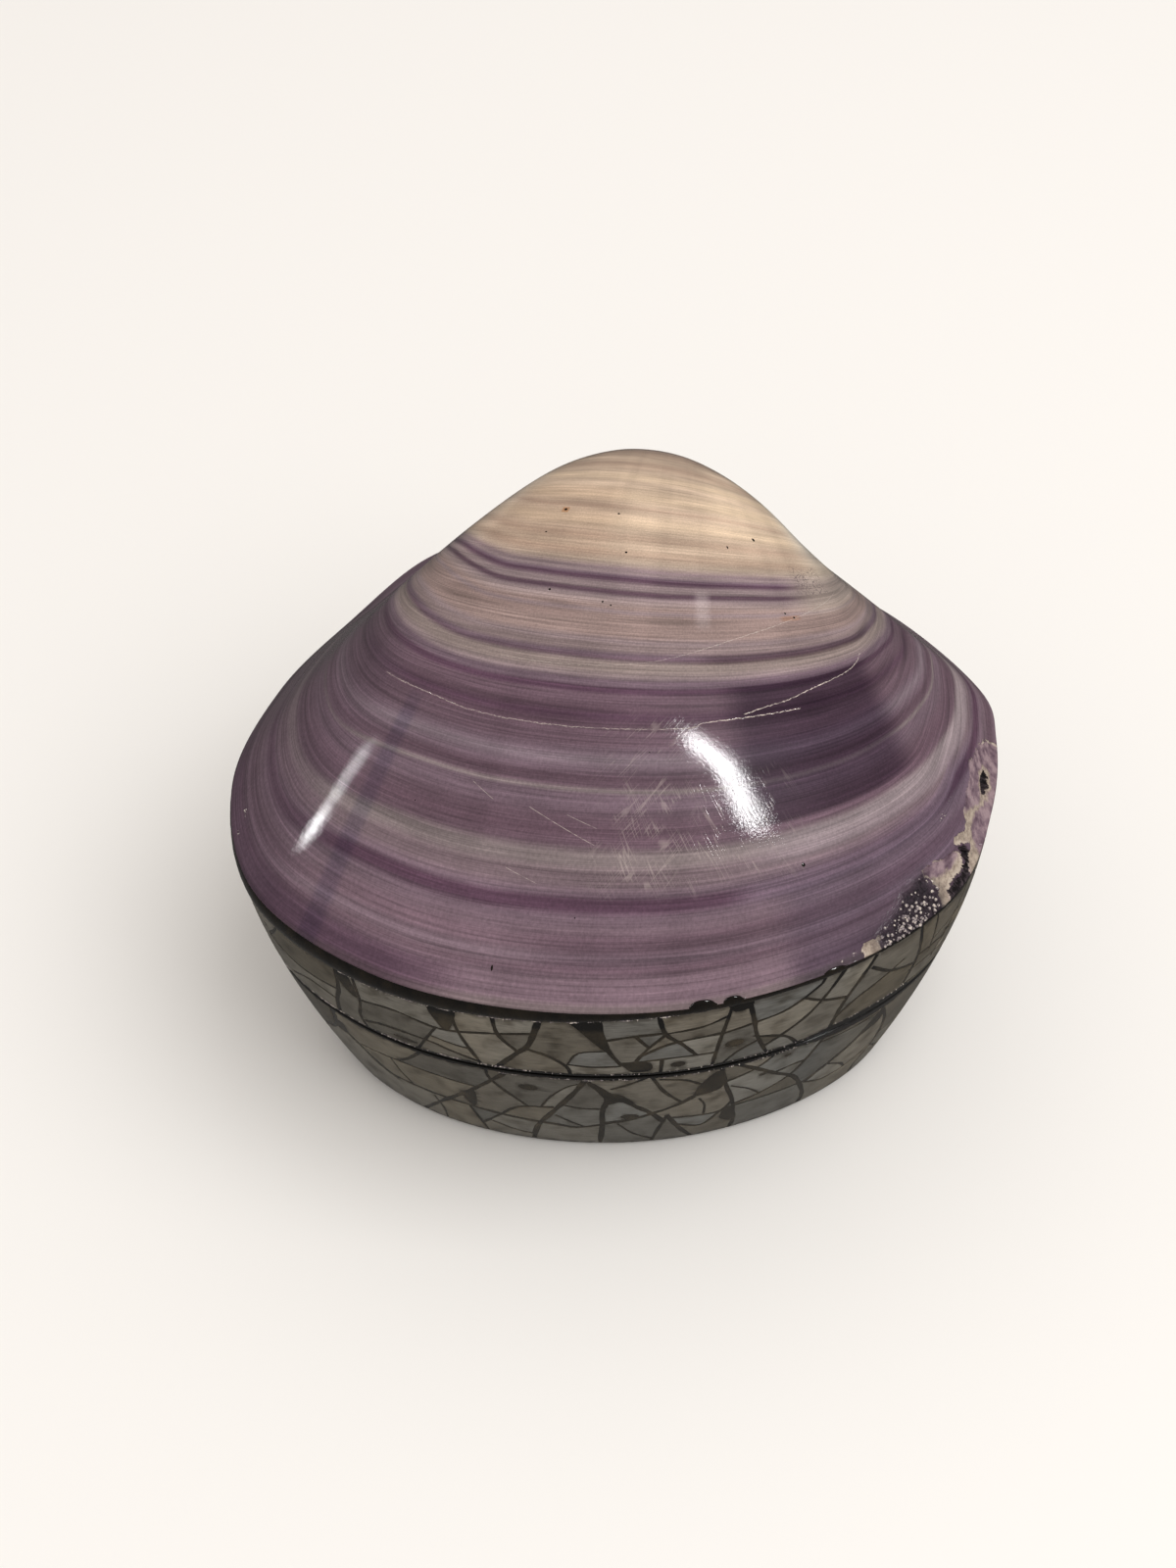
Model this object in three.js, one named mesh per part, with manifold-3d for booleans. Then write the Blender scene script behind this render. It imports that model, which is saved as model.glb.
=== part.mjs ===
// Shell box: half a polished clam on a low band that lifts off a hollow tray, both inlaid with shell chips.
// Millimetres, +Z up. The shell's open edge faces -Y, its beak is at +Y, and the origin is under the middle.
import * as THREE from 'three';
import { mergeVertices } from 'three/addons/utils/BufferGeometryUtils.js';
import Module from 'manifold-3d';

const wasm = await Module();
wasm.setup();

// Overall sizes
const shellLength = 87.7;      // across the shell, left to right
const trayHeight = 22.1;       // underside to the parting line
const lidBandHeight = 14.1;    // parting line to the shell's edge
const partingGap = 0.4;        // the dark line between the tray and the lid
const footInset = 8.6;         // how far the wall draws in from the shell's edge to the underside
const wallCurve = 1.47;        // 1 is a straight slope, more is steeper near the top
const footShift = 0.6;         // the foot sits this far to the right of the shell's edge

// The shell's form
const coiling = 1.02;          // how fast the growth lines shrink as they turn from the open edge to the beak
const beakLean = 3.0;          // the beak leans this far to the right
const shellThickness = 2.2;    // from the outside straight down to the hollow
const shellRimInset = 0.9;     // how far the hollow is also drawn in from the shell's sides
const hingeWall = 3.0;         // solid shell left in front of the hinge line
const hingeBow = 1.6;          // how far the outline bows out behind the hinge line

// Walls, inlay and edges
const lidWall = 2.6;           // lid band, with its inlay
const inlayThickness = 0.9;
const glueGap = 0.1;           // round the inlay and under the shell
const seamBead = 1.3;          // bare resin under the shell's edge
const partingEdge = 0.5;       // bare resin on each side of the parting line
const footBand = 1.2;          // bare resin at the foot
const footChamfer = 0.8;
const floorThickness = 2.6;
const floorFillet = 2.0;
const lipHeight = 2.4;         // the tray's lip, which keeps the lid in place
const lipThickness = 1.3;
const lipClearance = 0.3;

// How finely the surfaces are faceted
const stepsPerSpan = 3;
const growthRows = 24;
const rowSpread = 1.4;         // above 1 puts more growth lines near the open edge
const insetSteps = 6;
const trayLevels = 3;
const lidLevels = 2;
const mergeDistance = 1e-5;

// How the outline closes behind the hinge, and how its corners round off as it draws in
const hingeStations = [0.25, 0.5, 0.75];
const hingeFullness = 0.6;     // below 1 is a flatter bow with rounder ends
const cornerSoftening = 2.631;
const mostSoftening = 0.3;
const undersideCentre = 0.4;   // share of the length, in front of the beak

// Reach of the shell's edge from the beak, as shares of the shell's length, at angles from the front
const edgeReach = [
  [-90, 0.185], [-75, 0.301], [-60, 0.424], [-50, 0.571], [-40, 0.717], [-28, 0.826],
  [-14, 0.864], [0, 0.864], [14, 0.850], [28, 0.819], [40, 0.774],
  [50, 0.695], [59, 0.621], [66, 0.551], [76, 0.379], [90, 0.189],
];

const seamHeight = trayHeight + partingGap + lidBandHeight;
const lidBottom = trayHeight + partingGap;
const trayWall = lidWall + lipClearance + lipThickness;

// Shell's edge seen from above, beak at the origin: first the open edge, then the arc behind the hinge
function edgeCurve() {
  const points = edgeReach.map(([degrees, share]) => {
    const angle = THREE.MathUtils.degToRad(degrees);
    const reach = share * shellLength;
    return new THREE.Vector3(reach * Math.sin(angle), -reach * Math.cos(angle), 0);
  });
  const right = points.at(-1);
  const left = points[0];
  for (const along of hingeStations) {
    const point = right.clone().lerp(left, along);
    point.y += hingeBow * Math.sin(Math.PI * along) ** hingeFullness;
    points.push(point);
  }
  return new THREE.CatmullRomCurve3(points, true, 'catmullrom');
}

const edge = edgeCurve();
const spans = edge.points.length;
const openSpans = edgeReach.length - 1;
const steps = spans * stepsPerSpan;
const outline = Array.from({ length: steps }, (_, i) => edge.getPoint(i / steps));
const outlineBox = new THREE.Box3().setFromPoints(outline);
const beak = outlineBox.getCenter(new THREE.Vector3()).negate();
outline.forEach((point) => point.add(beak));

// Growth line at a turn from 0 at the open edge to PI behind the beak, as points from left to right
function growthLine(turn) {
  const size = Math.exp(-coiling * turn);
  return outline.slice(0, openSpans * stepsPerSpan + 1).map((point) => {
    const reach = size * (beak.y - point.y);
    const x = beak.x + size * (point.x - beak.x) + beakLean * (1 - size);
    return new THREE.Vector3(x, beak.y - reach * Math.cos(turn), seamHeight + reach * Math.sin(turn));
  });
}

function geometryOf(vertices, faces) {
  const geometry = new THREE.BufferGeometry();
  const numbers = vertices.flatMap((v) => [v.x, v.y, v.z]);
  geometry.setAttribute('position', new THREE.Float32BufferAttribute(numbers, 3));
  geometry.setIndex(faces.flat());
  return geometry;
}

// Closed solid of all growth lines, with a flat underside of two fans that meet at the hinge
function shellForm() {
  const rows = Array.from({ length: growthRows + 1 }, (_, j) => j / growthRows);
  const lines = rows.map((along) => growthLine(Math.PI * along ** rowSpread));
  const columns = lines[0].length;
  const vertices = lines.flat();
  const at = (row, column) => row * columns + column;
  const faces = [];
  for (let j = 0; j < growthRows; j++) {
    for (let i = 0; i < columns - 1; i++) {
      faces.push([at(j, i), at(j, i + 1), at(j + 1, i + 1)], [at(j, i), at(j + 1, i + 1), at(j + 1, i)]);
    }
  }
  const rim = [];
  for (let i = 0; i < columns - 1; i++) rim.push([at(0, i), at(0, i + 1)]);
  for (let j = 0; j < growthRows; j++) {
    rim.push([at(j, columns - 1), at(j + 1, columns - 1)], [at(j + 1, 0), at(j, 0)]);
  }
  const neck = [at(growthRows, columns - 1), at(growthRows, 0)];
  rim.push(neck);
  const middle = new THREE.Vector3(beak.x, beak.y - shellLength * undersideCentre, seamHeight);
  const front = vertices.push(middle) - 1;
  rim.forEach(([a, b]) => faces.push([b, a, front]));
  const last = lines.at(-1);
  const behind = last[0].clone().add(last[columns - 1]).add(last[columns >> 1]).divideScalar(3);
  const back = vertices.push(behind) - 1;
  faces.push([neck[0], neck[1], back]);
  for (let i = 0; i < columns - 1; i++) faces.push([at(growthRows, i), at(growthRows, i + 1), back]);
  return geometryOf(vertices, faces);
}

function solidOf(geometry) {
  const bare = geometry.clone();
  ['normal', 'uv'].forEach((name) => bare.deleteAttribute(name));
  const merged = mergeVertices(bare, mergeDistance);
  const mesh = new wasm.Mesh({
    numProp: 3,
    vertProperties: new Float32Array(merged.attributes.position.array),
    triVerts: new Uint32Array(merged.index.array),
  });
  return new wasm.Manifold(mesh);
}

function geometryFromSolid(solid) {
  const mesh = solid.getMesh();
  const geometry = new THREE.BufferGeometry();
  geometry.setAttribute('position', new THREE.Float32BufferAttribute(mesh.vertProperties, 3));
  geometry.setIndex(Array.from(mesh.triVerts));
  return geometry;
}

// The shell's own hollow: its form lowered by the thickness and drawn in at the sides, in front of the hinge
function shellValve() {
  const outside = shellForm();
  outside.computeBoundingBox();
  const size = outside.boundingBox.getSize(new THREE.Vector3());
  const inside = outside.clone();
  inside.scale(1 - 2 * shellRimInset / size.x, 1 - 2 * shellRimInset / size.y, 1);
  inside.translate(0, 0, -shellThickness);
  const reach = 2 * shellLength;
  const front = new THREE.BoxGeometry(reach, reach, reach);
  front.translate(0, beak.y - hingeWall - reach / 2, seamHeight);
  const hollow = solidOf(inside).intersect(solidOf(front));
  return geometryFromSolid(solidOf(outside).subtract(hollow));
}

// An outline drawn in by a distance, in short steps that keep its corners from folding over
function drawnIn(points, distance) {
  const softening = Math.min(mostSoftening, cornerSoftening * distance / shellLength);
  let ring = points.map((point) => point.clone());
  for (let step = 0; step < insetSteps; step++) {
    ring = ring.map((point, i) => {
      const before = ring.at(i - 1);
      const after = ring[(i + 1) % ring.length];
      const normal = new THREE.Vector3(before.y - after.y, after.x - before.x, 0).normalize();
      const middle = before.clone().lerp(after, 0.5);
      return point.clone().lerp(middle, softening).addScaledVector(normal, distance / insetSteps);
    });
  }
  return ring;
}

// Ring of the wall at a height, at a depth from the outside
function wallRing(height, depth) {
  const drawn = ((seamHeight - height) / seamHeight) ** wallCurve;
  const ring = drawnIn(outline, footInset * drawn + depth);
  return ring.map((point) => new THREE.Vector3(point.x + footShift * drawn, point.y, height));
}

// Skin over a row of rings, which closes on itself or ends in a flat cap at both ends
function loft(profile, capped) {
  const rings = profile.map(([height, depth]) => wallRing(height, depth));
  const count = outline.length;
  const vertices = rings.flat();
  const faces = [];
  const joins = capped ? rings.length - 1 : rings.length;
  for (let j = 0; j < joins; j++) {
    const lower = j * count;
    const upper = ((j + 1) % rings.length) * count;
    for (let i = 0; i < count; i++) {
      const next = (i + 1) % count;
      faces.push([lower + i, lower + next, upper + next], [lower + i, upper + next, upper + i]);
    }
  }
  if (capped) {
    const middle = (ring) => ring.reduce((sum, p) => sum.add(p), new THREE.Vector3()).divideScalar(count);
    const start = vertices.push(middle(rings[0])) - 1;
    const end = vertices.push(middle(rings.at(-1))) - 1;
    const top = (rings.length - 1) * count;
    for (let i = 0; i < count; i++) {
      const next = (i + 1) % count;
      faces.push([start, next, i], [end, top + i, top + next]);
    }
  }
  return geometryOf(vertices, faces);
}

// Heights from bottom to top in equal parts, both ends included
function heights(bottom, top, parts) {
  return Array.from({ length: parts + 1 }, (_, i) => bottom + (top - bottom) * i / parts);
}

const atDepth = (depth) => (height) => [height, depth];

function trayBody() {
  const inlayTop = trayHeight - partingEdge;
  const lipTop = trayHeight + lipHeight;
  return loft([
    [0, footChamfer], [footChamfer, 0], [footBand, 0],
    ...heights(footBand, inlayTop, trayLevels).map(atDepth(inlayThickness)),
    [inlayTop, 0], [trayHeight, 0],
    [trayHeight, lidWall + lipClearance], [lipTop, lidWall + lipClearance],
    ...heights(floorThickness + floorFillet, lipTop, trayLevels).reverse().map(atDepth(trayWall)),
    [floorThickness, trayWall + floorFillet],
  ], true);
}

function lidBand() {
  const inlayTop = seamHeight - glueGap - seamBead;
  const top = seamHeight - glueGap;
  return loft([
    [lidBottom, 0], [lidBottom + partingEdge, 0],
    ...heights(lidBottom + partingEdge, inlayTop, lidLevels).map(atDepth(inlayThickness)),
    [inlayTop, 0], [top, 0],
    ...heights(lidBottom, top, lidLevels).reverse().map(atDepth(lidWall)),
  ], false);
}

// Band of shell chips, lying in the rebate between two heights
function inlayBand(bottom, top, parts) {
  const levels = heights(bottom + glueGap, top - glueGap, parts);
  return loft([
    ...levels.map(atDepth(0)),
    ...levels.reverse().map(atDepth(inlayThickness - glueGap)),
  ], false);
}

const shellFinish = new THREE.MeshStandardMaterial({ color: 0x7c6585, roughness: 0.22, metalness: 0 });
const resinFinish = new THREE.MeshStandardMaterial({ color: 0x14110e, roughness: 0.3, metalness: 0 });
const inlayFinish = new THREE.MeshStandardMaterial({ color: 0x7d807b, roughness: 0.35, metalness: 0.1 });

function piece(name, geometry, finish) {
  const mesh = new THREE.Mesh(geometry, finish);
  mesh.name = name;
  return mesh;
}

const lidInlay = inlayBand(lidBottom + partingEdge, seamHeight - glueGap - seamBead, lidLevels);
const boxInlay = inlayBand(footBand, trayHeight - partingEdge, trayLevels);
const shellBox = new THREE.Group();
shellBox.add(
  piece('shell_valve', shellValve(), shellFinish),
  piece('lid_ring', lidBand(), resinFinish),
  piece('lid_inlay', lidInlay, inlayFinish),
  piece('box_body', trayBody(), resinFinish),
  piece('box_inlay', boxInlay, inlayFinish),
);

export default shellBox;
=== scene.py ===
import math

import bpy
import numpy as np
from mathutils import Matrix, Vector, geometry, noise


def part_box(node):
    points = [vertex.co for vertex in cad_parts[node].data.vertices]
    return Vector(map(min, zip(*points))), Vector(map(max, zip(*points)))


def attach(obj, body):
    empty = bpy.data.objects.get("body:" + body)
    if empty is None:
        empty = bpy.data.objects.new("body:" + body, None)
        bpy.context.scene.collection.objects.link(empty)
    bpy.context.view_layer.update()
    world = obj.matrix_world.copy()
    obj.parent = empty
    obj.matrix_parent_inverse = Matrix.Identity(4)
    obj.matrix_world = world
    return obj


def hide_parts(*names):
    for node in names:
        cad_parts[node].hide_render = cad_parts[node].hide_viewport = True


# Shell box: half a polished clam on a low band that lifts off a hollow tray, both inlaid with shell chips.
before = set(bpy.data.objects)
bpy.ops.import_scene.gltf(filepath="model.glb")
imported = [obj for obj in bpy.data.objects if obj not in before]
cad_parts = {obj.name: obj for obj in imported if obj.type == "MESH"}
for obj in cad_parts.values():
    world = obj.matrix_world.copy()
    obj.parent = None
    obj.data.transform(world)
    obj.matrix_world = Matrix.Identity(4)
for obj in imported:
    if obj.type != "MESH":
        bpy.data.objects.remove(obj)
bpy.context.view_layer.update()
mm = 0.001
print("frame loaded")

# Millimetres, the same values as the solids have
boxForm = {
    "shellLength": 87.7,
    "trayHeight": 22.1,
    "partingGap": 0.4,
    "footInset": 8.6,
    "wallCurve": 1.47,
    "footShift": 0.6,
    "coiling": 1.02,          # how fast the growth lines shrink as they turn towards the beak
    "beakLean": 3.0,
    "shellThickness": 2.2,
    "shellRimInset": 0.9,
    "hingeWall": 3.0,
    "hingeBow": 1.6,
    "hingeFullness": 0.6,
    "hingeStations": (0.25, 0.5, 0.75),
    "cornerSoftening": 2.631,
    "mostSoftening": 0.3,
    "insetSteps": 6,
    # reach of the shell's edge from the beak, as shares of its length, at angles from the front
    "edgeReach": (
        (-90, 0.185), (-75, 0.301), (-60, 0.424), (-50, 0.571), (-40, 0.717), (-28, 0.826),
        (-14, 0.864), (0, 0.864), (14, 0.850), (28, 0.819), (40, 0.774),
        (50, 0.695), (59, 0.621), (66, 0.551), (76, 0.379), (90, 0.189),
    ),
}
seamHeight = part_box("shell_valve")[0].z / mm
frontStation = [degrees for degrees, share in boxForm["edgeReach"]].index(0)


def edgeStations():
    points = []
    for degrees, share in boxForm["edgeReach"]:
        reach, angle = share * boxForm["shellLength"], math.radians(degrees)
        points.append((reach * math.sin(angle), -reach * math.cos(angle)))
    left, right = np.array(points[0]), np.array(points[-1])
    for along in boxForm["hingeStations"]:
        x, y = right + (left - right) * along
        bow = boxForm["hingeBow"] * math.sin(math.pi * along) ** boxForm["hingeFullness"]
        points.append((x, y + bow))
    return np.array(points)


def curvePoint(before, start, end, after, t):  # on a smooth curve from start to end, t from 0 to 1
    curve = 2 * start + (end - before) * t + (2 * before - 5 * start + 4 * end - after) * t ** 2
    return (curve + (3 * start - before - 3 * end + after) * t ** 3) / 2


def closedCurve(points, steps):
    t = (np.arange(steps) / steps)[None, :, None]
    before, start, end, after = (np.roll(points, shift, 0)[:, None, :] for shift in (1, 0, -1, -2))
    return curvePoint(before, start, end, after, t).reshape(-1, points.shape[1])


stations = edgeStations()
coarseSteps = 3
coarseOutline = closedCurve(stations, coarseSteps)
beak = -(coarseOutline.min(0) + coarseOutline.max(0)) / 2
coarseOutline = coarseOutline + beak
fineSteps = 400
openEdge = closedCurve(stations, fineSteps)[:(len(boxForm["edgeReach"]) - 1) * fineSteps + 1]
openAngles = np.degrees(np.arctan2(openEdge[:, 0], -openEdge[:, 1]))


# A place on the outside of the shell. The angle goes round the beak, in degrees. The turn goes along the
# growth, from 0 at the open edge to pi behind the beak.
def shellPoint(angle, turn):
    angle, turn = np.broadcast_arrays(np.asarray(angle, float), np.asarray(turn, float))
    size = np.exp(-boxForm["coiling"] * turn)
    sideways = np.interp(angle, openAngles, openEdge[:, 0])
    reach = -size * np.interp(angle, openAngles, openEdge[:, 1])
    x = beak[0] + size * sideways + boxForm["beakLean"] * (1 - size)
    return np.stack([x, beak[1] - reach * np.cos(turn), seamHeight + reach * np.sin(turn)], -1)


# The wall under the shell, as a table of rings that the other pieces read
wall = {"levels": 75, "ringSteps": 8}


def drawnIn(points, distance):  # the outline moved inwards, with its corners softened
    softening = boxForm["cornerSoftening"] * distance / boxForm["shellLength"]
    softening = min(boxForm["mostSoftening"], softening)
    ring = points.copy()
    for step in range(boxForm["insetSteps"]):
        before, after = np.roll(ring, 1, 0), np.roll(ring, -1, 0)
        normal = np.stack([before[:, 1] - after[:, 1], after[:, 0] - before[:, 0]], -1)
        normal /= np.linalg.norm(normal, axis=1, keepdims=True)
        ring += (((before + after) / 2) - ring) * softening
        ring += normal * distance / boxForm["insetSteps"]
    return ring


def wallRing(height, depth=0.0):
    drawn = (max(0.0, seamHeight - height) / seamHeight) ** boxForm["wallCurve"]
    ring = drawnIn(coarseOutline, boxForm["footInset"] * drawn + depth)
    ring[:, 0] += boxForm["footShift"] * drawn
    return closedCurve(ring, wall["ringSteps"])


wallHeights = np.linspace(0, seamHeight, wall["levels"])
wallRings = np.array([wallRing(height) for height in wallHeights])
wallSides = np.roll(wallRings, -1, 1) - np.roll(wallRings, 1, 1)
wallInward = np.stack([-wallSides[..., 1], wallSides[..., 0]], -1)
wallInward /= np.linalg.norm(wallInward, axis=-1, keepdims=True)
edgeRing = wallRings[-1]
edgeLengths = np.linalg.norm(np.roll(edgeRing, -1, 0) - edgeRing, axis=1)
edgeAlong = np.concatenate([[0], np.cumsum(edgeLengths)])
perimeter = edgeAlong[-1]
edgeAlong = edgeAlong - edgeAlong[frontStation * coarseSteps * wall["ringSteps"]]


def wallPoint(along, height, depth=0.0):  # along the shell's edge from the middle of the front, to the right
    along, height = np.asarray(along, float), np.asarray(height, float)
    wrapped = (along - edgeAlong[0]) % perimeter + edgeAlong[0]
    column = np.interp(wrapped, edgeAlong, np.arange(len(edgeAlong)))
    row = np.clip(height / seamHeight, 0, 1) * (wall["levels"] - 1)
    left, low = np.floor(column).astype(int), np.minimum(np.floor(row).astype(int), wall["levels"] - 2)
    side, rise = (column - left)[..., None], (row - low)[..., None]
    left, right = left % len(edgeRing), (left + 1) % len(edgeRing)

    def blended(table):
        lower = table[low, left] * (1 - side) + table[low, right] * side
        upper = table[low + 1, left] * (1 - side) + table[low + 1, right] * side
        return lower * (1 - rise) + upper * rise

    flat = blended(wallRings) + blended(wallInward) * np.asarray(depth, float)[..., None]
    return np.concatenate([flat, np.broadcast_to(height, flat.shape[:-1])[..., None]], -1)


def makeMesh(name, points, faces, smooth=True):
    mesh = bpy.data.meshes.new(name)
    mesh.from_pydata([tuple(point) for point in np.asarray(points) * mm], [], faces)
    mesh.update()
    mesh.polygons.foreach_set("use_smooth", [smooth] * len(mesh.polygons))
    piece = bpy.data.objects.new(name, mesh)
    bpy.context.scene.collection.objects.link(piece)
    return piece


def addAttribute(mesh, name, values, kind="FLOAT"):
    layer = mesh.attributes.new(name, kind, "POINT")
    key = "vector" if kind == "FLOAT_VECTOR" else "value"
    layer.data.foreach_set(key, np.asarray(values, np.float32).ravel())


def gridFaces(rows, columns, first=0, around=False, flipped=False):
    faces = []
    for j in range(rows - 1):
        for i in range(columns if around else columns - 1):
            a, b = first + j * columns + i, first + j * columns + (i + 1) % columns
            face = (a, b, b + columns, a + columns)
            faces.append(face[::-1] if flipped else face)
    return faces


def finishPiece(piece, slot, *nodes):
    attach(piece, "root")
    if nodes:
        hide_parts(*nodes)


# Helpers for materials
def put(tree, kind, sockets=None, **settings):
    made = tree.nodes.new(kind)
    for name, value in settings.items():
        setattr(made, name, value)
    for key, value in (sockets or {}).items():
        if isinstance(value, bpy.types.NodeSocket):
            tree.links.new(value, made.inputs[key])
        else:
            made.inputs[key].default_value = value
    return made


def calc(tree, operation, *values):
    return put(tree, "ShaderNodeMath", dict(enumerate(values)), operation=operation).outputs[0]


def fade(tree, value, start, end, low=0.0, high=1.0):  # smooth step, also where start is above end
    sockets = {"Value": value, "From Min": start, "From Max": end, "To Min": low, "To Max": high}
    return put(tree, "ShaderNodeMapRange", sockets, interpolation_type="SMOOTHSTEP").outputs["Result"]


def bump(tree, value, start, end, soft):  # 1 between start and end, fading out over soft on each side
    rising = fade(tree, value, start - soft, start)
    falling = fade(tree, value, end + soft, end)
    return calc(tree, "MULTIPLY", rising, falling)


def blend(tree, factor, first, second, kind="MIX"):
    sockets = {"Factor": factor, 6: colourOf(first), 7: colourOf(second)}
    return put(tree, "ShaderNodeMix", sockets, data_type="RGBA", blend_type=kind).outputs[2]


def stretched(tree, vector, scale, offset=(0, 0, 0)):
    sockets = {"Vector": vector, "Scale": scale, "Location": offset}
    return put(tree, "ShaderNodeMapping", sockets).outputs["Vector"]


def grain(tree, vector, scale=1.0, detail=2.0, roughness=0.5):
    sockets = {"Vector": vector, "Scale": scale, "Detail": detail, "Roughness": roughness}
    return put(tree, "ShaderNodeTexNoise", sockets).outputs["Fac"]


def colourOf(colour):  # a web colour's code as linear light, anything else as it is
    if not isinstance(colour, str):
        return colour
    parts = [int(colour[i:i + 2], 16) / 255 for i in (0, 2, 4)]
    return (*[part / 12.92 if part <= 0.04045 else ((part + 0.055) / 1.055) ** 2.4 for part in parts], 1)


def colourRamp(tree, factor, stops, start=0.0, end=1.0):
    scaled = put(tree, "ShaderNodeMapRange", {"Value": factor, "From Min": start, "From Max": end})
    made = put(tree, "ShaderNodeValToRGB", {"Fac": scaled.outputs["Result"]})
    elements = made.color_ramp.elements
    while len(elements) < len(stops):
        elements.new(0.5)
    for element, (place, colour) in zip(elements, stops):
        element.position = (place - start) / (end - start)
    for element, (place, colour) in zip(elements, stops):
        element.color = colourOf(colour)
    return made.outputs["Color"]


def newMaterial(name, **shaderValues):
    material = bpy.data.materials.new(name)
    material.use_nodes = True
    shader = material.node_tree.nodes["Principled BSDF"]
    for key, value in shaderValues.items():
        shader.inputs[key.replace("_", " ")].default_value = value
    return material, material.node_tree, shader


def addRelief(tree, shader, height, strength, millimetres, *others):  # relief too fine for the mesh
    sockets = {"Strength": strength, "Distance": millimetres * mm, "Height": height}
    normal = put(tree, "ShaderNodeBump", sockets).outputs["Normal"]
    for name in ("Normal", *others):
        tree.links.new(normal, shader.inputs[name])


# Helpers for Geometry Nodes
def newGeometryTree(name, inputs):
    tree = bpy.data.node_groups.new(name, "GeometryNodeTree")
    tree.interface.new_socket("Geometry", in_out="INPUT", socket_type="NodeSocketGeometry")
    for label, kind in inputs.items():
        tree.interface.new_socket(label, in_out="INPUT", socket_type=f"NodeSocket{kind}")
    tree.interface.new_socket("Geometry", in_out="OUTPUT", socket_type="NodeSocketGeometry")
    return tree, put(tree, "NodeGroupInput").outputs


def finishTree(tree, shape, material):
    real = put(tree, "GeometryNodeRealizeInstances", {"Geometry": shape}).outputs[0]
    painted = put(tree, "GeometryNodeSetMaterial", {"Geometry": real, "Material": material}).outputs[0]
    put(tree, "NodeGroupOutput", {0: painted})


def grownPiece(name, base, tree, values):  # what the tree makes of a mesh, as a plain mesh
    piece = bpy.data.objects.new(name, base)
    bpy.context.scene.collection.objects.link(piece)
    modifier = piece.modifiers.new("nodes", "NODES")
    modifier.node_group = tree
    for item in tree.interface.items_tree:
        if item.in_out == "INPUT" and item.name in values:
            modifier[item.identifier] = values[item.name]
    evaluated = piece.evaluated_get(bpy.context.evaluated_depsgraph_get())
    mesh = bpy.data.meshes.new_from_object(evaluated)
    piece.modifiers.remove(modifier)
    piece.data = mesh
    return piece


def named(tree, name, kind="FLOAT"):
    made = put(tree, "GeometryNodeInputNamedAttribute", {"Name": name}, data_type=kind)
    return next(socket for socket in made.outputs if socket.enabled)


def bareMesh(points, edges=(), halfHeights=None):
    mesh = bpy.data.meshes.new("places")
    mesh.from_pydata([tuple(point) for point in np.asarray(points) * mm], edges, [])
    if halfHeights is not None:
        addAttribute(mesh, "halfHeight", halfHeights)
    return mesh


# Camera and lights first
studio = {
    "lens": 61.2,
    "distance": 0.32,
    "azimuth": 8.4,
    "elevation": 47.03,
    "target": (-0.00415, 0.00296, 0.028),
    "worldStrength": 0.76,
    "mirroredStrength": 0.09,  # of the room as the polish mirrors it
    "worldColour": "fffaf5",
    "overhead": {"power": 7.4, "size": 1.0, "at": (0.50, -0.25, 1.0)},
    "floorColour": "f1efec",
    "floorReach": 3000,
    # the strip lamps that the polish mirrors: a place on the shell, the way to the lamp, and the way it lies
    "lamps": (
        {"seen": (11, -12.8, 52.8), "way": (0.41, -0.052, 0.91), "lies": (0.14, -0.015, -0.062),
         "length": 0.137, "width": 0.036},
        {"seen": (15.2, -16.5, 49.6), "way": (0.522, -0.12, 0.84), "lies": (0.085, -0.125, -0.075),
         "length": 0.150, "width": 0.045},
        {"seen": (-30.3, -21.2, 43.9), "way": (-0.865, -0.012, 0.50), "lies": (-0.06, -0.12, -0.06),
         "length": 0.060, "width": 0.030},
        {"seen": (-28.5, -18.0, 46.5), "way": (-0.825, 0.08, 0.56), "lies": (-0.06, -0.12, -0.06),
         "length": 0.125, "width": 0.010},
    ),
    "lampDistance": 0.8,
    "lampGlow": 165.0,        # watts for each square metre of lamp
}


def directionFrom(azimuth, elevation):
    a, e = math.radians(azimuth), math.radians(elevation)
    return Vector((math.sin(a) * math.cos(e), -math.cos(a) * math.cos(e), math.sin(e)))


def makeCamera():
    camera = bpy.data.objects.new("camera", bpy.data.cameras.new("camera"))
    bpy.context.scene.collection.objects.link(camera)
    back = directionFrom(studio["azimuth"], studio["elevation"])
    camera.data.sensor_fit = "AUTO"
    camera.data.lens = studio["lens"]
    camera.data.clip_start = 0.01
    camera.location = Vector(studio["target"]) + back * studio["distance"]
    camera.rotation_euler = (-back).to_track_quat("-Z", "Y").to_euler()
    bpy.context.scene.camera = camera


def makeAreaLight(name, at, way, lies, power, length, width):  # way is where it shines from
    light = bpy.data.lights.new(name, "AREA")
    light.shape, light.size, light.size_y = "RECTANGLE", width, length
    light.energy = power
    lamp = bpy.data.objects.new(name, light)
    back = Vector(way).normalized()
    side = Vector(lies).cross(back).normalized()
    lamp.matrix_world = Matrix((side, back.cross(side), back)).transposed().to_4x4()
    lamp.location = at
    bpy.context.scene.collection.objects.link(lamp)
    return lamp


def makeLamps():
    over = studio["overhead"]
    size = over["size"]
    soft = makeAreaLight("overhead", over["at"], over["at"], (0, 1, 0), over["power"], size, size)
    soft.visible_glossy = False
    for index, lamp in enumerate(studio["lamps"]):
        way, lies, length, width = lamp["way"], lamp["lies"], lamp["length"], lamp["width"]
        at = Vector(lamp["seen"]) * mm + Vector(way).normalized() * studio["lampDistance"]
        power = studio["lampGlow"] * length * width
        strip = makeAreaLight(f"strip{index}", at, way, lies, power, length, width)
        strip.visible_diffuse = False


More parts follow.
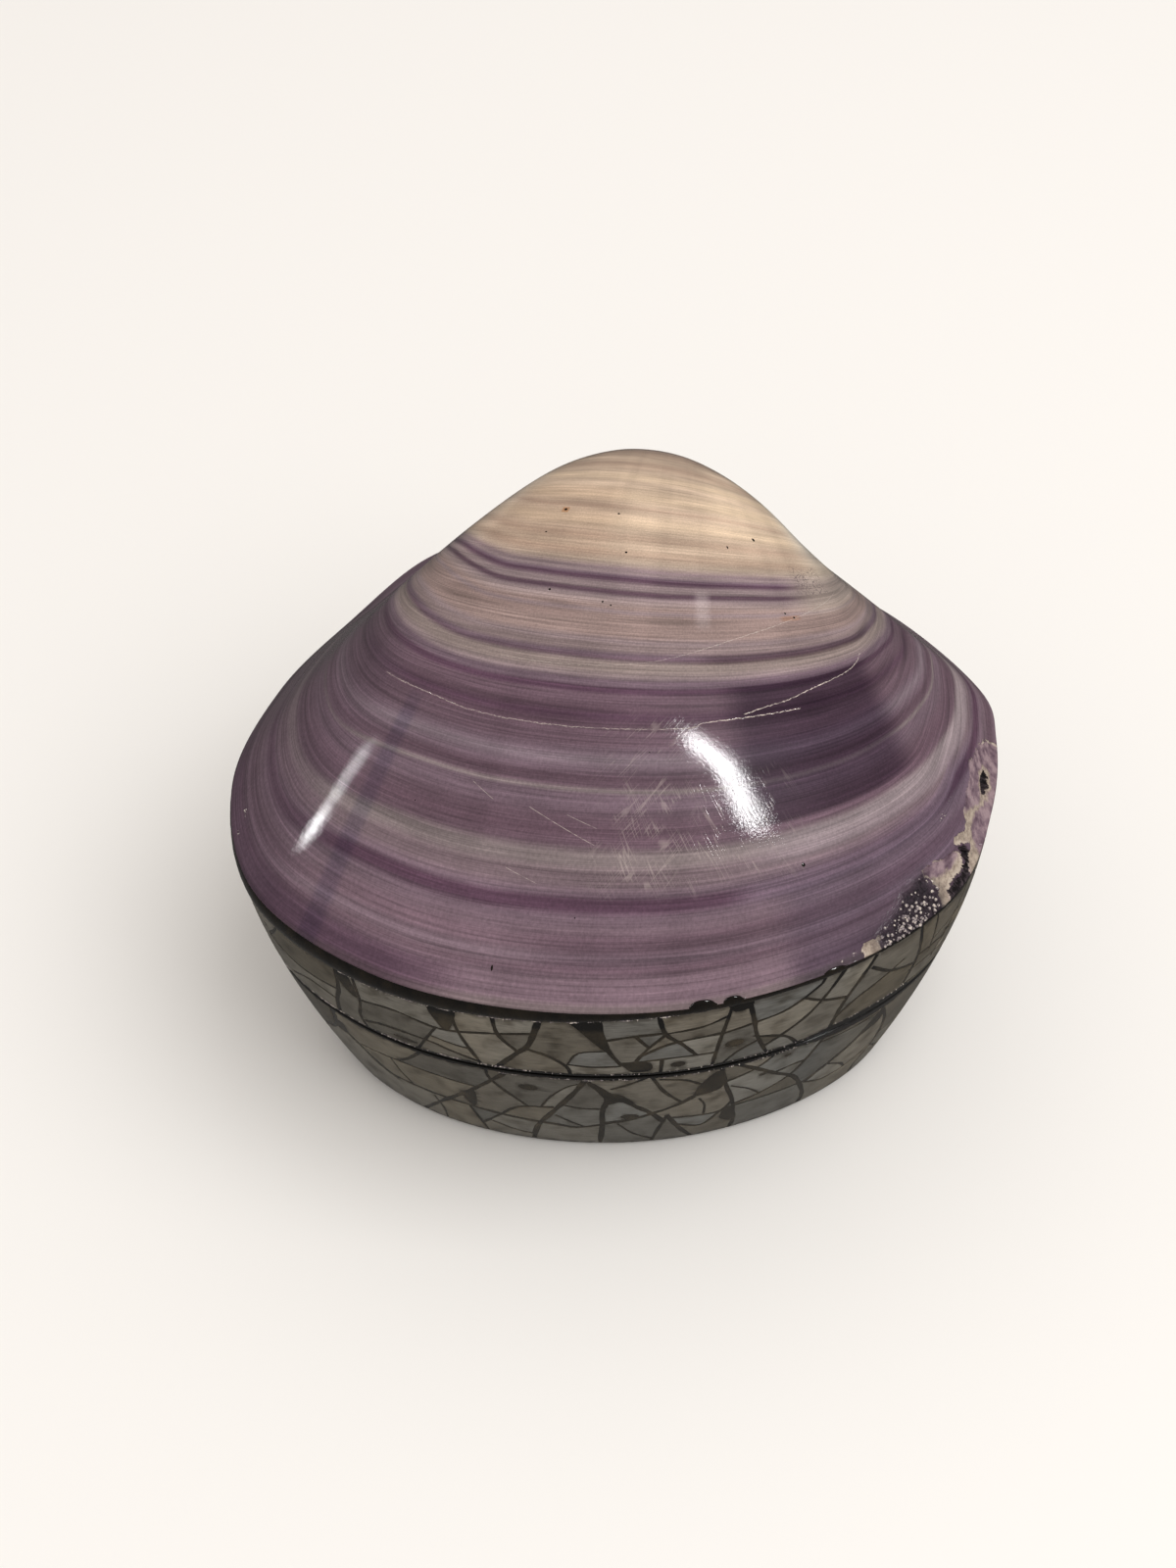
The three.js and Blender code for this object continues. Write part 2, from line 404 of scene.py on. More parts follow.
def makeRoom():  # soft light from all round, which the polish mirrors only dimly
    world = bpy.data.worlds.new("studio")
    world.use_nodes = True
    tree = world.node_tree
    background = tree.nodes["Background"]
    background.inputs["Color"].default_value = colourOf(studio["worldColour"])
    mirrored = put(tree, "ShaderNodeLightPath").outputs["Is Glossy Ray"]
    dimmed = studio["mirroredStrength"] - studio["worldStrength"]
    strength = calc(tree, "MULTIPLY_ADD", mirrored, dimmed, studio["worldStrength"])
    tree.links.new(strength, background.inputs["Strength"])
    bpy.context.scene.world = world
    bpy.context.scene.view_settings.view_transform = "Standard"


def makeFloor():
    reach = studio["floorReach"]
    corners = [(-reach, -reach, 0), (reach, -reach, 0), (reach, reach, 0), (-reach, reach, 0)]
    floor = makeMesh("floor", corners, [(0, 1, 2, 3)], False)
    material, tree, shader = newMaterial("paleFloor", Roughness=0.9)
    shader.inputs["Base Color"].default_value = colourOf(studio["floorColour"])
    floor.data.materials.append(material)
    floor.visible_glossy = False


makeCamera()
makeLamps()
makeRoom()
makeFloor()
print("camera and lights placed")

# The clam
clam = {
    "columns": 470,
    "rows": 166,
    "fineAngles": (27, 60),   # the damaged part has a finer mesh
    "fineTurn": 0.08,
    "fineTimes": 6.0,
    "stepSamples": 4000,
    "hollowColumns": 120,
    "hollowRows": 40,
    "hollowAngle": 88,
    "hollowSamples": 1500,
    "hollowSpread": 1.2,
    "millimetresPerDegree": 1.33,
    "millimetresPerTurn": 108.0,
    "raggedness": 0.42,
    "flakeDepth": 0.28,       # each with the distances inside its outline where it begins and is full
    "flakeSlope": (-0.05, 0.25),
    "crumbDepth": 0.13,
    "crumbSlope": (-0.7, 1.2),
    "pitDepth": 0.85,
    "pitSlope": (-0.05, 0.35),
    "sinksTowards": 30,       # how far in front of the beak
    "keptRim": 0.014,         # turn over which the damage grows from nothing at the shell's edge
    # places as angle round the beak in degrees and turn in radians
    "flakes": (
        ((52.6, 0.071), (50.9, 0.077), (49.7, 0.067), (48.1, 0.068), (46.2, 0.060), (45.2, 0.059),
         (45.1, 0.047), (44.3, 0.044), (43.3, 0.051), (42.2, 0.056), (41.7, 0.046), (42.9, 0.037),
         (43.9, 0.026), (43.5, 0.016), (42.0, 0.006), (41.8, -0.01), (58.5, -0.01), (57.5, 0.03),
         (55.5, 0.055)),
        ((36.6, 0.057), (38.2, 0.056), (39.7, 0.049), (41.4, 0.043), (41.9, 0.035), (42.3, 0.026),
         (41.9, 0.017), (41.0, 0.015), (39.8, 0.017), (38.9, 0.013), (38.4, -0.01), (37.5, -0.01),
         (37.6, 0.012), (37.8, 0.022), (37.3, 0.033), (36.9, 0.044)),
        ((28.1, 0.010), (28.7, 0.017), (29.5, 0.017), (30.1, 0.012), (30.0, -0.01), (28.2, -0.01)),
    ),
    "pits": (
        ((53.4, 0.029), (53.1, 0.017), (52.2, 0.012), (50.7, 0.013), (50.1, 0.022), (50.9, 0.032),
         (51.9, 0.036)),
        ((42.0, 0.043), (42.9, 0.037), (43.7, 0.026), (43.4, 0.014), (42.2, 0.004), (41.8, -0.01),
         (38.5, -0.01), (38.9, 0.010), (40.0, 0.016), (41.1, 0.012), (42.0, 0.016), (42.4, 0.026)),
    ),
    "crumbs": (
        ((36.6, 0.054), (37.3, 0.032), (37.8, 0.022), (37.6, -0.01), (29.9, -0.01), (29.8, 0.012),
         (31.2, 0.021), (32.5, 0.031), (33.8, 0.045)),
    ),
    "beige": (
        ((45.2, 0.062), (44.0, 0.050), (41.5, 0.058), (41.5, 0.044), (43.9, 0.026), (42.6, 0.010),
         (41.5, -0.01), (44.4, -0.01), (45.2, 0.018), (45.9, 0.027), (47.2, 0.028), (49.6, 0.010),
         (50.6, 0.016), (47.8, 0.036), (46.2, 0.052)),
        ((37.0, 0.040), (39.4, 0.030), (42.3, 0.030), (42.0, 0.012), (38.8, 0.010), (38.4, -0.01),
         (37.0, -0.01)),
        ((28.0, 0.018), (30.2, 0.018), (30.2, -0.01), (28.0, -0.01)),
        ((50.0, 0.010), (49.6, 0.022), (50.6, 0.036), (52.2, 0.041), (54.0, 0.032), (53.8, 0.012),
         (52.2, 0.006)),
    ),
}
damageKinds = ("flakes", "pits", "crumbs", "beige")
undamaged = -9.0  # what the damage attributes hold far from any damage


def unevenSteps(start, end, count, density):
    samples = np.linspace(start, end, clam["stepSamples"])
    weights = np.cumsum(density(samples))
    weights = (weights - weights[0]) / (weights[-1] - weights[0])
    return np.interp(np.linspace(0, 1, count), weights, samples)


def clamAngles():
    low, high = clam["fineAngles"]
    times = clam["fineTimes"]
    return unevenSteps(-90, 90, clam["columns"], lambda a: np.where((a > low) & (a < high), times, 1.0))


def clamTurns():  # closest at the damaged edge, and wider apart towards the beak
    fine, times = clam["fineTurn"], clam["fineTimes"]
    return unevenSteps(0, math.pi, clam["rows"], lambda t: np.where(t < fine, 5 * times, 3 / (0.5 + t)))


def flatPlace(angle, turn):  # surface coordinates as rough millimetres, for distances
    return np.stack([angle * clam["millimetresPerDegree"], turn * clam["millimetresPerTurn"]], -1)


def insideDistance(places, corners):  # distance to a polygon's edge, positive inside
    corners = flatPlace(*np.array(corners, float).T)
    nearest = np.full(len(places), np.inf)
    inside = np.zeros(len(places), bool)
    for a, b in zip(corners, np.roll(corners, -1, 0)):
        side = b - a
        share = np.clip((places - a) @ side / (side @ side), 0, 1)
        nearest = np.minimum(nearest, np.linalg.norm(places - a - share[:, None] * side, axis=1))
        crosses = (a[1] > places[:, 1]) != (b[1] > places[:, 1])
        at = a[0] + (places[:, 1] - a[1]) * side[0] / (side[1] if side[1] else 1e-9)
        inside ^= crosses & (places[:, 0] < at)
    return np.where(inside, nearest, -nearest)


def damageAt(angle, turn):
    places = flatPlace(angle, turn)
    rough = np.array([noise.fractal(Vector((x * 0.9, y * 0.9, 3.1)), 0.8, 2.1, 4) for x, y in places])
    found = {}
    for kind in damageKinds:
        distances = [insideDistance(places, corners) for corners in clam[kind]]
        found[kind] = np.max(distances, 0) + rough * clam["raggedness"]
    return found, rough


def smoothStep(values, start, end):
    t = np.clip((values - start) / (end - start), 0, 1)
    return t * t * (3 - 2 * t)


def clamDamage(angles, turns):  # the attribute values of each kind, and how deep the surface sinks
    low, high = clam["fineAngles"]
    zone = ((angles > low) & (angles < high) & (turns < clam["fineTurn"])).ravel()
    fields = {kind: np.full(zone.shape, undamaged) for kind in damageKinds}
    found, rough = damageAt(angles.ravel()[zone], turns.ravel()[zone])
    for kind, values in found.items():
        fields[kind][zone] = np.maximum(values, undamaged)
    grains = 0.5 + 0.5 * np.sin(rough * 19)
    flaked = clam["flakeDepth"] * smoothStep(found["flakes"], *clam["flakeSlope"])
    crumbled = clam["crumbDepth"] * smoothStep(found["crumbs"], *clam["crumbSlope"]) * (0.5 + grains)
    pitted = clam["pitDepth"] * smoothStep(found["pits"], *clam["pitSlope"])
    sunk = np.maximum(np.maximum(flaked, crumbled), pitted)
    depth = np.zeros(zone.shape)
    depth[zone] = sunk * smoothStep(turns.ravel()[zone], 0, clam["keptRim"])
    return fields, depth.reshape(angles.shape)


def makeClamSkin():
    angles, turns = np.meshgrid(clamAngles(), clamTurns())
    points = shellPoint(angles, turns)
    fields, depth = clamDamage(angles, turns)
    outward = points[..., :2] - np.array([beak[0], beak[1] - clam["sinksTowards"]])
    outward /= np.linalg.norm(outward, axis=-1, keepdims=True)
    points[..., :2] -= outward * depth[..., None] * math.sqrt(2)
    return angles, turns, points, fields


def hollowPoint(angle, turn):
    point = shellPoint(angle, turn)
    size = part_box("shell_valve")[1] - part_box("shell_valve")[0]
    for axis in (0, 1):
        point[..., axis] *= 1 - 2 * boxForm["shellRimInset"] / (size[axis] / mm)
    point[..., 2] -= boxForm["shellThickness"]
    return point


def hollowColumn(angle):  # the hollow's outline over one angle, from the front rim to the rear rim
    turns = np.linspace(0, math.pi, clam["hollowSamples"])
    points = hollowPoint(angle, turns)
    cut = beak[1] - boxForm["hingeWall"]
    good = np.nonzero((points[:, 2] >= seamHeight) & (points[:, 1] <= cut))[0]
    if len(good) < 2:
        return None
    shares = np.linspace(0, 1, clam["hollowRows"]) ** clam["hollowSpread"]
    picks = np.interp(shares, (0, 1), (good[0], good[-1]))
    column = points[np.round(picks).astype(int)]
    column[0, 2] = seamHeight
    foot = column[-1].copy()
    foot[2] = seamHeight
    return np.vstack([column, foot])


def makeHollow():
    angles = np.linspace(-clam["hollowAngle"], clam["hollowAngle"], clam["hollowColumns"])
    found = [column for column in map(hollowColumn, angles) if column is not None]
    for end in (0, -1):  # the hollow closes to a point on the rim at both ends
        found[end] = np.broadcast_to(found[end][[0, -1]].mean(0), found[end].shape)
    return np.array(found).transpose(1, 0, 2)


def rimFaces(points, outer, inner):  # the flat rim between the skin's border and the hollow's
    loops = [[Vector((*points[i][:2], 0)) for i in loop] for loop in (outer, inner)]
    order = np.concatenate([outer, inner])
    faces = []
    for a, b, c in geometry.tessellate_polygon(loops):
        one, two, three = (points[order[i]] for i in (a, b, c))
        turned = np.cross(two[:2] - one[:2], three[:2] - one[:2]) > 0
        faces.append(tuple(int(order[i]) for i in ((a, c, b) if turned else (a, b, c))))
    return faces


def makeClam():
    angles, turns, skin, fields = makeClamSkin()
    hollow = makeHollow()
    rows, columns = angles.shape
    first = rows * columns
    points = np.vstack([skin.reshape(-1, 3), hollow.reshape(-1, 3)])
    faces = gridFaces(rows, columns) + gridFaces(*hollow.shape[:2], first=first, flipped=True)
    at = np.arange(first).reshape(rows, columns)
    outer = np.concatenate([at[0], at[1:, -1], at[-1, -2::-1], at[-2:0:-1, 0]])
    inner = first + np.arange(hollow.shape[0] * hollow.shape[1]).reshape(hollow.shape[:2])
    faces += rimFaces(points, outer, np.concatenate([inner[0], inner[-1, -2:0:-1]]))
    piece = makeMesh("clam_shell", points, faces)
    growth = np.zeros((len(points), 3))  # angle, turn, and 1 on the outside
    growth[:first] = np.stack([angles.ravel(), turns.ravel(), np.ones(first)], -1)
    addAttribute(piece.data, "growth", growth, "FLOAT_VECTOR")
    for kind, values in fields.items():
        addAttribute(piece.data, kind, np.concatenate([values, np.full(len(points) - first, undamaged)]))
    return piece


# Colours of the growth bands, from the open edge to the beak
bandColours = {
    "blush": "76676a",
    "rose": "74606a",
    "heather": "6f5c67",
    "mauve": "66515c",
    "grape": "5d4853",
    "plum": "543c4c",
    "ashLilac": "716066",
    "paleLilac": "807374",
    "lilac": "7f6f78",
    "dove": "8c7d79",
    "fawn": "857474",
    "sand": "947f7a",
    "ash": "978583",
    "mist": "8b7a7c",
    "petal": "b3a090",
    "cream": "c5ae99",
    "ivory": "d2baa0",
    "umber": "b39a87",
    "clay": "a38d82",
}
growthBands = (  # in three parts, because a ramp holds 32 stops at most
    ((0, "blush"), (0.006, "blush"), (0.012, "rose"), (0.034, "rose"), (0.044, "mauve"),
     (0.056, "heather"), (0.066, "mauve"), (0.076, "mauve"), (0.086, "rose"), (0.100, "heather"),
     (0.109, "plum"), (0.119, "plum"), (0.126, "heather"), (0.138, "ashLilac"), (0.150, "ashLilac"),
     (0.162, "paleLilac"), (0.172, "paleLilac"), (0.184, "mauve"), (0.200, "grape"), (0.218, "mauve"),
     (0.235, "heather"), (0.250, "heather"), (0.255, "paleLilac"), (0.261, "mauve"), (0.272, "grape"),
     (0.284, "heather"), (0.298, "lilac"), (0.310, "heather"), (0.322, "mauve"), (0.340, "mauve")),
    ((0.340, "mauve"), (0.348, "grape"), (0.362, "plum"), (0.374, "grape"), (0.385, "mauve"),
     (0.396, "mauve"), (0.401, "plum"), (0.407, "plum"), (0.412, "heather"), (0.420, "heather"),
     (0.428, "mist"), (0.440, "dove"), (0.452, "dove"), (0.460, "mauve"), (0.467, "heather"),
     (0.476, "fawn"), (0.486, "fawn"), (0.492, "mist"), (0.505, "sand"), (0.545, "sand"), (0.553, "mist"),
     (0.562, "sand"), (0.575, "ash"), (0.586, "mist"), (0.594, "grape"), (0.600, "grape"), (0.606, "mist"),
     (0.616, "mist"), (0.624, "mauve"), (0.630, "plum"), (0.637, "heather"), (0.645, "mist")),
    ((0.645, "mist"), (0.652, "heather"), (0.658, "ash"), (0.675, "petal"), (0.700, "umber"),
     (0.716, "cream"), (0.728, "cream"), (0.748, "umber"), (0.768, "cream"), (0.800, "ivory"),
     (0.842, "cream"), (0.856, "umber"), (0.870, "cream"), (0.905, "ivory"), (0.98, "cream"),
     (1.02, "ivory"), (1.06, "cream"), (1.12, "umber"), (1.18, "cream"), (1.30, "umber"), (1.50, "clay"),
     (1.75, "ash"), (2.2, "fawn"), (3.2, "heather")),
)
# Scratches and cracks in the polish. A long one is its places (angle, turn), and its half width as a turn.
# A short one is its two ends, and its half width in millimetres.
longScratches = (
    (((-27, 0.349), (-20, 0.348), (-13, 0.342), (-5, 0.3415), (5, 0.344), (13, 0.346), (14, 0.352),
      (20, 0.356), (27, 0.357)), 0.0008),
    (((20, 0.362), (22, 0.368), (26, 0.376), (30, 0.388), (34, 0.396), (38, 0.405), (41, 0.425)), 0.0008),
    (((-12, 0.441), (-3, 0.443), (5, 0.452), (10, 0.465), (15, 0.485), (20, 0.505), (27, 0.53),
      (33, 0.552), (44, 0.60)), 0.0005),
)
shortScratches = (
    ((-10.5, 0.245), (-8, 0.228), 0.04),
    ((-4, 0.225), (3, 0.185), 0.05),
    ((0, 0.22), (3, 0.206), 0.04),
    ((-5, 0.148), (-2, 0.135), 0.04),
)


def longScratch(tree, angle, turn, places, halfWidth):
    (firstAngle, firstTurn), (lastAngle, lastTurn) = places[0], places[-1]
    across = put(tree, "ShaderNodeMapRange", {"Value": angle, "From Min": firstAngle, "From Max": lastAngle})
    made = put(tree, "ShaderNodeFloatCurve", {"Value": across.outputs["Result"]})
    curve = made.mapping.curves[0]
    low, high = min(turns for angles, turns in places), max(turns for angles, turns in places)
    stops = [((a - firstAngle) / (lastAngle - firstAngle), (t - low) / (high - low)) for a, t in places]
    curve.points[0].location, curve.points[-1].location = stops[0], stops[-1]
    for stop in stops[1:-1]:
        curve.points.new(*stop)
    made.mapping.update()
    middle = calc(tree, "MULTIPLY_ADD", made.outputs["Value"], high - low, low)
    away = calc(tree, "ABSOLUTE", calc(tree, "SUBTRACT", turn, middle))
    line = fade(tree, away, halfWidth * 1.4, halfWidth * 0.5)
    return calc(tree, "MULTIPLY", line, bump(tree, angle, firstAngle, lastAngle, 0.6))


def shortScratch(tree, place, start, end, halfWidth):  # 1 on a stroke between two places, 0 beside it
    start, end = flatPlace(*start), flatPlace(*end)
    side = end - start
    length = float(np.linalg.norm(side))
    turned = put(tree, "ShaderNodeVectorMath", {0: place, 1: (*start, 0)}, operation="SUBTRACT").outputs[0]
    way = (*(side / length), 0)
    along = put(tree, "ShaderNodeVectorMath", {0: turned, 1: way}, operation="DOT_PRODUCT").outputs["Value"]
    over = (-way[1], way[0], 0)
    across = put(tree, "ShaderNodeVectorMath", {0: turned, 1: over}, operation="DOT_PRODUCT").outputs["Value"]
    line = fade(tree, calc(tree, "ABSOLUTE", across), halfWidth * 1.5, halfWidth * 0.5)
    return calc(tree, "MULTIPLY", line, bump(tree, along, 0, length, 0.2))


def shaded(tree, colour, source, low, high, dark, pale, strength=1.0):  # darker where the source is low
    shades = ((low, (dark, dark, dark, 1)), (0.5, (1, 1, 1, 1)), (high, (pale, pale, pale, 1)))
    return blend(tree, strength, colour, colourRamp(tree, source, shades), "MULTIPLY")


def toned(tree, colour, first, second, strength, tint, kind="MULTIPLY"):
    factor = calc(tree, "MULTIPLY", calc(tree, "MULTIPLY", first, second), strength)
    return blend(tree, factor, colour, tint, kind)


def bandPlace(tree, growth, angle, turn):  # bands dip at the right end, and rise then drop at the left
    drift = grain(tree, stretched(tree, growth, (0.035, 5, 1)), detail=3)
    drift = calc(tree, "MULTIPLY_ADD", drift, 0.014, -0.007)
    lower, higher = fade(tree, turn, 0.3, 0.5, 1, 0.3), fade(tree, turn, 0.22, 0.62, 0.018, -0.042)
    rightDip = calc(tree, "MULTIPLY", fade(tree, angle, 38, 62, 0, 0.052), lower)
    leftDip = calc(tree, "MULTIPLY", fade(tree, angle, -16, -34), higher)
    return calc(tree, "ADD", calc(tree, "ADD", turn, drift), calc(tree, "ADD", rightDip, leftDip))


def bandColour(tree, band):
    colour = None
    for part in growthBands:
        stops = [(place, bandColours[name]) for place, name in part]
        ramp = colourRamp(tree, band, stops, stops[0][0], stops[-1][0])
        beyond = calc(tree, "GREATER_THAN", band, stops[0][0])
        colour = ramp if colour is None else blend(tree, beyond, colour, ramp)
    return colour


# Parts of the shell that are darker or paler than the bands, three of them painted sheen: angles with
# their softness, turns with theirs, how strongly, tint, and MIX where the tint replaces the colour
sectors = (
    (21, 38, 6, 0.20, 0.405, 0.014, 0.9, (0.34, 0.29, 0.38, 1), "MULTIPLY"),
    (-21.8, -20.8, 1.0, -1, 0.30, 0.07, 0.6, (0.62, 0.64, 0.78, 1), "MULTIPLY"),
    (-90, -31, 10, -1, 0.36, 0.10, 0.62, "574652", "MIX"),
    (-48, -30, 10, 0.62, 0.69, 0.02, 0.6, (1.3, 1.3, 1.26, 1), "MULTIPLY"),
    # painted sheen: a pale, near-white wedge by the left outline of the top, for the polish seen at a grazing
    # angle
    (-48, -34, 13, 0.98, 1.15, 0.26, 0.5, "e6dbce", "MIX"),
    (-24, -6, 5, 0.535, 0.562, 0.008, 0.6, (0.62, 0.60, 0.60, 1), "MULTIPLY"),
    (-24, -5, 6, 0.69, 0.93, 0.04, 0.7, (0.80, 0.76, 0.75, 1), "MULTIPLY"),
    (18, 44, 8, 0.456, 0.468, 0.008, 0.8, (0.52, 0.48, 0.48, 1), "MULTIPLY"),
    (20, 40, 5, 0.262, 0.312, 0.012, 0.6, (0.60, 0.56, 0.62, 1), "MULTIPLY"),
    (20, 30, 4, 0.345, 0.372, 0.010, 0.4, (0.60, 0.56, 0.62, 1), "MULTIPLY"),
    (20, 46, 5, 0.106, 0.122, 0.006, 0.7, "746270", "MIX"),
    (38, 66, 9, 0.57, 0.65, 0.04, 0.7, "a5978c", "MIX"),
    # painted sheen, these two: pale, near-white wedges on the right shoulder and beside the beak, for the
    # polish seen at a grazing angle
    (44, 66, 10, 0.69, 1.4, 0.06, 0.6, "cfbfab", "MIX"),
    (48, 58, 12, 0.86, 1.1, 0.22, 0.6, "f4ede4", "MIX"),
    (24, 45, 12, 0.84, 1.2, 0.08, 0.8, (1.3, 1.32, 1.30, 1), "MULTIPLY"),
    (24, 50, 5, -1, 0.092, 0.03, 0.62, (0.56, 0.58, 0.68, 1), "MULTIPLY"),
    (23, 42, 3, -1, 0.018, 0.03, 0.7, (0.5, 0.46, 0.52, 1), "MULTIPLY"),
    (-60, -14, 6, -1, 0.018, 0.03, 0.75, (0.52, 0.44, 0.54, 1), "MULTIPLY"),
    (-26, -10, 5, 0.00, 0.03, 0.01, 0.7, (0.62, 0.54, 0.62, 1), "MULTIPLY"),
    (-22, -4, 6, 0.048, 0.074, 0.010, 0.8, (1.32, 1.38, 1.32, 1), "MULTIPLY"),
    (14.6, 15.0, 1.6, 0.545, 0.595, 0.03, 0.30, "cbbcbc", "MIX"),
    (28.6, 31, 1.2, 0.540, 0.548, 0.004, 0.6, (0.98, 0.72, 0.50, 1), "MULTIPLY"),
    (-13, -12, 0.4, 0.822, 0.836, 0.006, 0.8, (0.80, 0.52, 0.30, 1), "MULTIPLY"),
)


def sectorColour(tree, colour, angle, turn, band):
    paleBand = bump(tree, band, 0.148, 0.170, 0.012)
    colour = toned(tree, colour, bump(tree, angle, 26, 60, 10), paleBand, 0.62, "93858a", "MIX")
    for start, end, soft, low, high, turnSoft, strength, tint, kind in sectors:
        across = bump(tree, angle, start, end, soft)
        colour = toned(tree, colour, across, bump(tree, turn, low, high, turnSoft), strength, tint, kind)
    return colour


def hairlines(tree, place, lean, across, along, width):  # 1 on thin straight scratches that lean to the left
    sockets = {"Vector": place, "Rotation": (0, 0, math.radians(lean)), "Scale": (across, along, 1)}
    turned = put(tree, "ShaderNodeMapping", sockets, vector_type="TEXTURE").outputs["Vector"]
    away = calc(tree, "ABSOLUTE", calc(tree, "SUBTRACT", grain(tree, turned, detail=0), 0.5))
    return fade(tree, away, width / across, 0.0)


def clamScratches(tree, place, angle, turn):
    shaken = calc(tree, "SUBTRACT", grain(tree, place, 1.4, 4, 0.6), 0.5)
    scratchTurn = calc(tree, "MULTIPLY_ADD", shaken, 0.006, turn)
    scratches = None
    for places, halfWidth in longScratches:
        line = longScratch(tree, angle, scratchTurn, places, halfWidth)
        scratches = line if scratches is None else calc(tree, "MAXIMUM", scratches, line)
    for scratch in shortScratches:
        scratches = calc(tree, "MAXIMUM", scratches, shortScratch(tree, place, *scratch))
    broken = fade(tree, grain(tree, place, 1.6, 3), 0.36, 0.58, 0.25, 1)
    return calc(tree, "MULTIPLY", scratches, broken)


# Grain over the bands, as streaks in three widths and rays across them: stretch along angle and turn,
# shift, detail, roughness, the noise's low and high, and the shades there
grainLayers = (
    ((0.03, 150, 1), (0, 0, 0), 5, 0.78, 0.25, 0.75, 0.54, 1.46),
    ((0.045, 430, 1), (1, 0, 0), 3, 0.6, 0.3, 0.7, 0.80, 1.18),
    ((0.05, 24, 1), (4, 0, 0), 2, 0.5, 0.28, 0.72, 0.82, 1.22),
    ((0.22, 0.9, 1), (9, 3, 0), 3, 0.5, 0.3, 0.7, 0.9, 1.06),
)
polish = {
    "roughness": 0.4,
    "brokenRoughness": 0.6,
    "specular": 0.1,
    "coat": 0.9,
    "brokenCoat": 0.2,
    "coatRoughness": 0.05,
    "paleScratchAndGlint": "dccdc4",
    "darkScribble": "54464a",
    "hollowColour": "a999a2",
    # relief in millimetres
    "hairRelief": 0.003,
    "mottleRelief": 0.008,
    "scratchRelief": -0.02,
    "brokenRelief": 0.25,
}


def grainedColour(tree, colour, growth, turn):
    calmer = fade(tree, turn, 0.60, 0.70, 1.0, 0.5)  # the streaks are weaker on the cream part
    for index, (stretch, shift, detail, roughness, *shades) in enumerate(grainLayers):
        source = grain(tree, stretched(tree, growth, stretch, shift), detail=detail, roughness=roughness)
        colour = shaded(tree, colour, source, *shades, 1.0 if index else calmer)
    return colour


def buffedHairs(tree, place, angle, turn):  # fine scratches round the large highlight
    worn = calc(tree, "MULTIPLY", bump(tree, angle, 6, 21, 5), bump(tree, turn, 0.15, 0.34, 0.04))
    worn = calc(tree, "MULTIPLY", worn, fade(tree, grain(tree, place, 0.28, 1), 0.40, 0.62))
    rising = calc(tree, "MULTIPLY", hairlines(tree, place, -40, 0.6, 12, 0.026), fade(tree, angle, 15, 11))
    falling = calc(tree, "MULTIPLY", hairlines(tree, place, 24, 0.55, 9, 0.026), fade(tree, turn, 0.29, 0.24))
    return calc(tree, "MULTIPLY", calc(tree, "MAXIMUM", rising, falling), worn)


def scratchAndGlintColour(tree, colour, place, angle, turn, scratches, hairs):
    besideBeak = calc(tree, "MULTIPLY", bump(tree, angle, 34, 41, 1.5), bump(tree, turn, 0.61, 0.69, 0.015))
    scribbles = calc(tree, "MULTIPLY", hairlines(tree, place, 40, 1.1, 1.7, 0.06), besideBeak)
    colour = blend(tree, calc(tree, "MULTIPLY", scribbles, 0.75), colour, polish["darkScribble"])
    pale = calc(tree, "MULTIPLY", scratches, fade(tree, angle, 8, 19, 0.42, 0.9))
    # painted highlight: the fine hairlines round the large highlight are painted pale, as glints of the lamp
    # in real scratches
    pale = calc(tree, "MAXIMUM", pale, calc(tree, "MULTIPLY", hairs, 0.20))
    return blend(tree, pale, colour, polish["paleScratchAndGlint"])


def brokenColour(tree, colour, place, mottle):  # where the purple skin has flaked off, crumbled or left a pit
    ragged = calc(tree, "MULTIPLY_ADD", grain(tree, place, 3.2, 3), 0.5, -0.25)

    def zoneOf(name, start, end):
        value = put(tree, "ShaderNodeAttribute", attribute_name=name).outputs["Fac"]
        return fade(tree, calc(tree, "ADD", value, ragged), start, end)

    cloud = grain(tree, place, 0.55, 4, 0.6)
    bare = colourRamp(tree, cloud, ((0.38, "5f4b57"), (0.50, "806b74"), (0.60, "9a858a")))
    beige = colourRamp(tree, grain(tree, place, 1.5, 4, 0.7), ((0.35, "83756b"), (0.6, "b5a697")))
    bare = blend(tree, zoneOf("beige", -0.1, 0.5), bare, beige)
    flakes = zoneOf("flakes", -0.04, 0.06)
    rim = calc(tree, "MULTIPLY", flakes, zoneOf("flakes", 0.4, 0.1))
    bare = blend(tree, calc(tree, "MULTIPLY", rim, 0.8), bare, "c2b4a6")
    colour = blend(tree, flakes, colour, bare)
    crumbled = zoneOf("crumbs", -1.7, 1.5)
    colour = blend(tree, crumbled, colour, colourRamp(tree, mottle, ((0.4, "1f1a20"), (0.6, "3d343b"))))
    dark = colourRamp(tree, mottle, ((0.45, "151013"), (0.62, "4a4045")))
    colour = blend(tree, zoneOf("pits", -0.02, 0.08), colour, dark)
    return colour, calc(tree, "MAXIMUM", flakes, crumbled)


